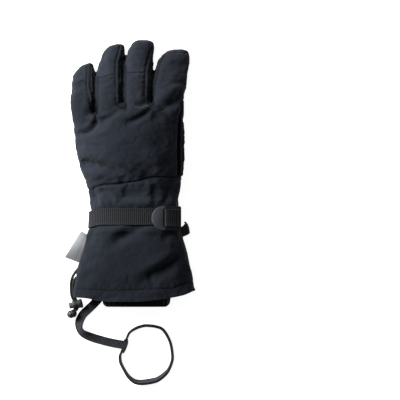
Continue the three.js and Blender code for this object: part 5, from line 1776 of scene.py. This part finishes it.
@dataclass
class SideClip:
    """The moulded clip on the index side: a ribbed base and the hook leaf that bends over it."""

    finishes: Finishes
    leaf_thick: float = 1.9
    leaf_width: float = 4.5
    outline: tuple[tuple[float, float], ...] = (
        (55.6, 69.6), (60.0, 69.2), (67.0, 72.2), (66.6, 77.4), (64.9, 82.4), (62.8, 84.6), (60.8, 81.9),
        (57.4, 79.8), (55.6, 79.6),
    )
    ribs: tuple[tuple[float, float], ...] = ((71.3, 64.0), (73.5, 66.4), (75.7, 66.2), (77.9, 65.8), (80.1, 65.0))
    hook: tuple[tuple[float, float], ...] = (
        (67.2, 72.9), (66.9, 75.9), (66.2, 79.8), (64.6, 83.6), (61.9, 86.0),
    )

    def base(self) -> None:
        """Makes the ribbed base: an outline that is extruded, rounded and crossed by grip ribs."""
        low, high = (np.array(corner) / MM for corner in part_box("clip_base"))
        size = high - low
        corners = [(x - ORIGIN[0], y - ORIGIN[1]) for x, y in self.outline]
        deselect()
        bpy.ops.mesh.primitive_circle_add(vertices=len(corners), radius=MM, fill_type="NGON")
        core = bpy.context.active_object
        for vertex, (x, y) in zip(core.data.vertices, corners):
            vertex.co = (x * MM, y * MM, (low[2] + 0.4) * MM)
        bpy.ops.object.mode_set(mode="EDIT")
        bpy.ops.mesh.select_all(action="SELECT")
        lift = (0.0, 0.0, (size[2] - 0.8) * MM)
        bpy.ops.mesh.extrude_region_move(TRANSFORM_OT_translate={"value": lift})
        bpy.ops.object.mode_set(mode="OBJECT")
        tidy_normals(core)
        apply_modifier(core, "BEVEL", width=0.9 * MM, segments=3)
        parts = [core]
        for y, right in self.ribs:
            left = self.outline[0][0] + 0.4
            deselect()
            bpy.ops.mesh.primitive_cube_add(size=MM)
            rib = bpy.context.active_object
            rib.data.transform(Matrix.Diagonal((right - left, 0.9, size[2], 1)))
            spot = Vector(((right + left) / 2 - ORIGIN[0], y - ORIGIN[1], (low[2] + high[2]) / 2)) * MM
            rib.data.transform(Matrix.Translation(spot))
            apply_modifier(rib, "BEVEL", width=0.3 * MM, segments=2)
            parts.append(rib)
        choose(*parts)
        bpy.ops.object.join()
        core.name = "clip_ribbed_base"
        smooth(core, 40)
        settle(core, self.finishes.black, Slot.BLACK, "clip_base")

    def leaf(self) -> None:
        """Makes the hook leaf from a narrow grid that is bent, thickened and rounded."""
        low, high = (np.array(corner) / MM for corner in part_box("clip_leaf"))
        steps, rows = 24, 4
        line = spline([(x - ORIGIN[0], y - ORIGIN[1]) for x, y in self.hook], steps + 1)
        deselect()
        bpy.ops.mesh.primitive_grid_add(x_subdivisions=steps, y_subdivisions=rows, size=MM)
        piece = bpy.context.active_object
        piece.name = "clip_hook_leaf"
        middle = (low[2] + high[2]) / 2
        for index, vertex in enumerate(piece.data.vertices):
            at, across = index % (steps + 1), index // (steps + 1)
            x, y = line[at]
            taper = np.interp(at / steps, [0, 0.1, 0.75, 1], [0.75, 1, 1, 0.6])
            vertex.co = (x * MM, y * MM, (middle + (across / rows - 0.5) * self.leaf_width * taper) * MM)
        apply_modifier(piece, "SOLIDIFY", thickness=self.leaf_thick * MM, offset=0.0)
        tidy_normals(piece)
        apply_modifier(piece, "BEVEL", width=0.45 * MM, segments=2, limit_method="ANGLE",
                       angle_limit=math.radians(50))
        apply_modifier(piece, "SUBSURF", levels=1, render_levels=1)
        smooth(piece, 50)
        settle(piece, self.finishes.leaf, Slot.GREY, "clip_leaf")

    def build(self) -> None:
        """Makes the clip."""
        self.base()
        self.leaf()


# --- studio


@dataclass
class Studio:
    """The pale floor, the soft lights and the camera straight above."""

    finishes: Finishes
    aim: tuple[float, float] = (0.0770, -0.0295)
    width: float = 0.440
    distance: float = 7.0
    floor_level: float = -0.0004

    def camera(self) -> None:
        """Adds the camera, looking straight down."""
        data = bpy.data.cameras.new("camera")
        data.lens = data.sensor_width * (self.distance - 0.022) / self.width
        data.clip_start, data.clip_end = 0.05, 20.0
        camera = bpy.data.objects.new("camera", data)
        camera.location = (self.aim[0], self.aim[1], self.distance)
        bpy.context.scene.collection.objects.link(camera)
        bpy.context.scene.camera = camera

    def light(self, name: str, place: Sequence[float], size: float, power: float) -> None:
        """Adds a soft square light that looks at the glove.

        Args:
            name: The light's name.
            place: Where it stands, in metres.
            size: Its side, in metres.
            power: Its power, in watts.
        """
        data = bpy.data.lights.new(name, "AREA")
        data.shape, data.size, data.energy = "SQUARE", size, power
        lamp = bpy.data.objects.new(name, data)
        lamp.location = place
        target = Vector((0.0, -0.02, 0.02))
        lamp.rotation_mode = "QUATERNION"
        lamp.rotation_quaternion = (target - Vector(place)).to_track_quat("-Z", "Y")
        bpy.context.scene.collection.objects.link(lamp)

    def build(self) -> None:
        """Adds the floor, the lights and the surroundings."""
        deselect()
        bpy.ops.mesh.primitive_plane_add(size=9.0, location=(0, 0, self.floor_level))
        floor = bpy.context.active_object
        floor.name = "floor"
        floor.data.materials.append(self.finishes.floor)
        self.light("key", (-1.4, 0.75, 0.92), 0.8, 120.0)
        self.light("top", (-0.3, 0.3, 1.9), 1.0, 3.0)
        world = bpy.data.worlds.new("studio")
        world.use_nodes = True
        world.node_tree.nodes["Background"].inputs[0].default_value = (0.92, 0.95, 1.0, 1.0)
        world.node_tree.nodes["Background"].inputs[1].default_value = 0.1
        scene = bpy.context.scene
        scene.world = world
        scene.view_settings.view_transform = "Standard"


def main() -> None:
    """Builds the glove, piece by piece, and the studio round it."""
    logging.basicConfig(level=logging.INFO, format="%(message)s")
    finishes = Finishes()
    studio = Studio(finishes)
    form = SoftForm()
    makers: list[tuple[str, Callable[[], None]]] = [
        ("camera", studio.camera),
        ("drawcord", Drawcord(finishes).build),
        ("leash", Leash(finishes).build),
        ("soft body", SoftBody(form, finishes).build),
        ("inner cuff", InnerCuff(form, finishes).build),
        ("wrist strap", WristStrap(form, finishes).build),
        ("side label", SideLabel(finishes).build),
        ("side clip", SideClip(finishes).build),
        ("studio", studio.build),
    ]
    for name, make in makers:
        make()
        LOG.info("made the %s", name)


if __name__ == "__main__":
    main()
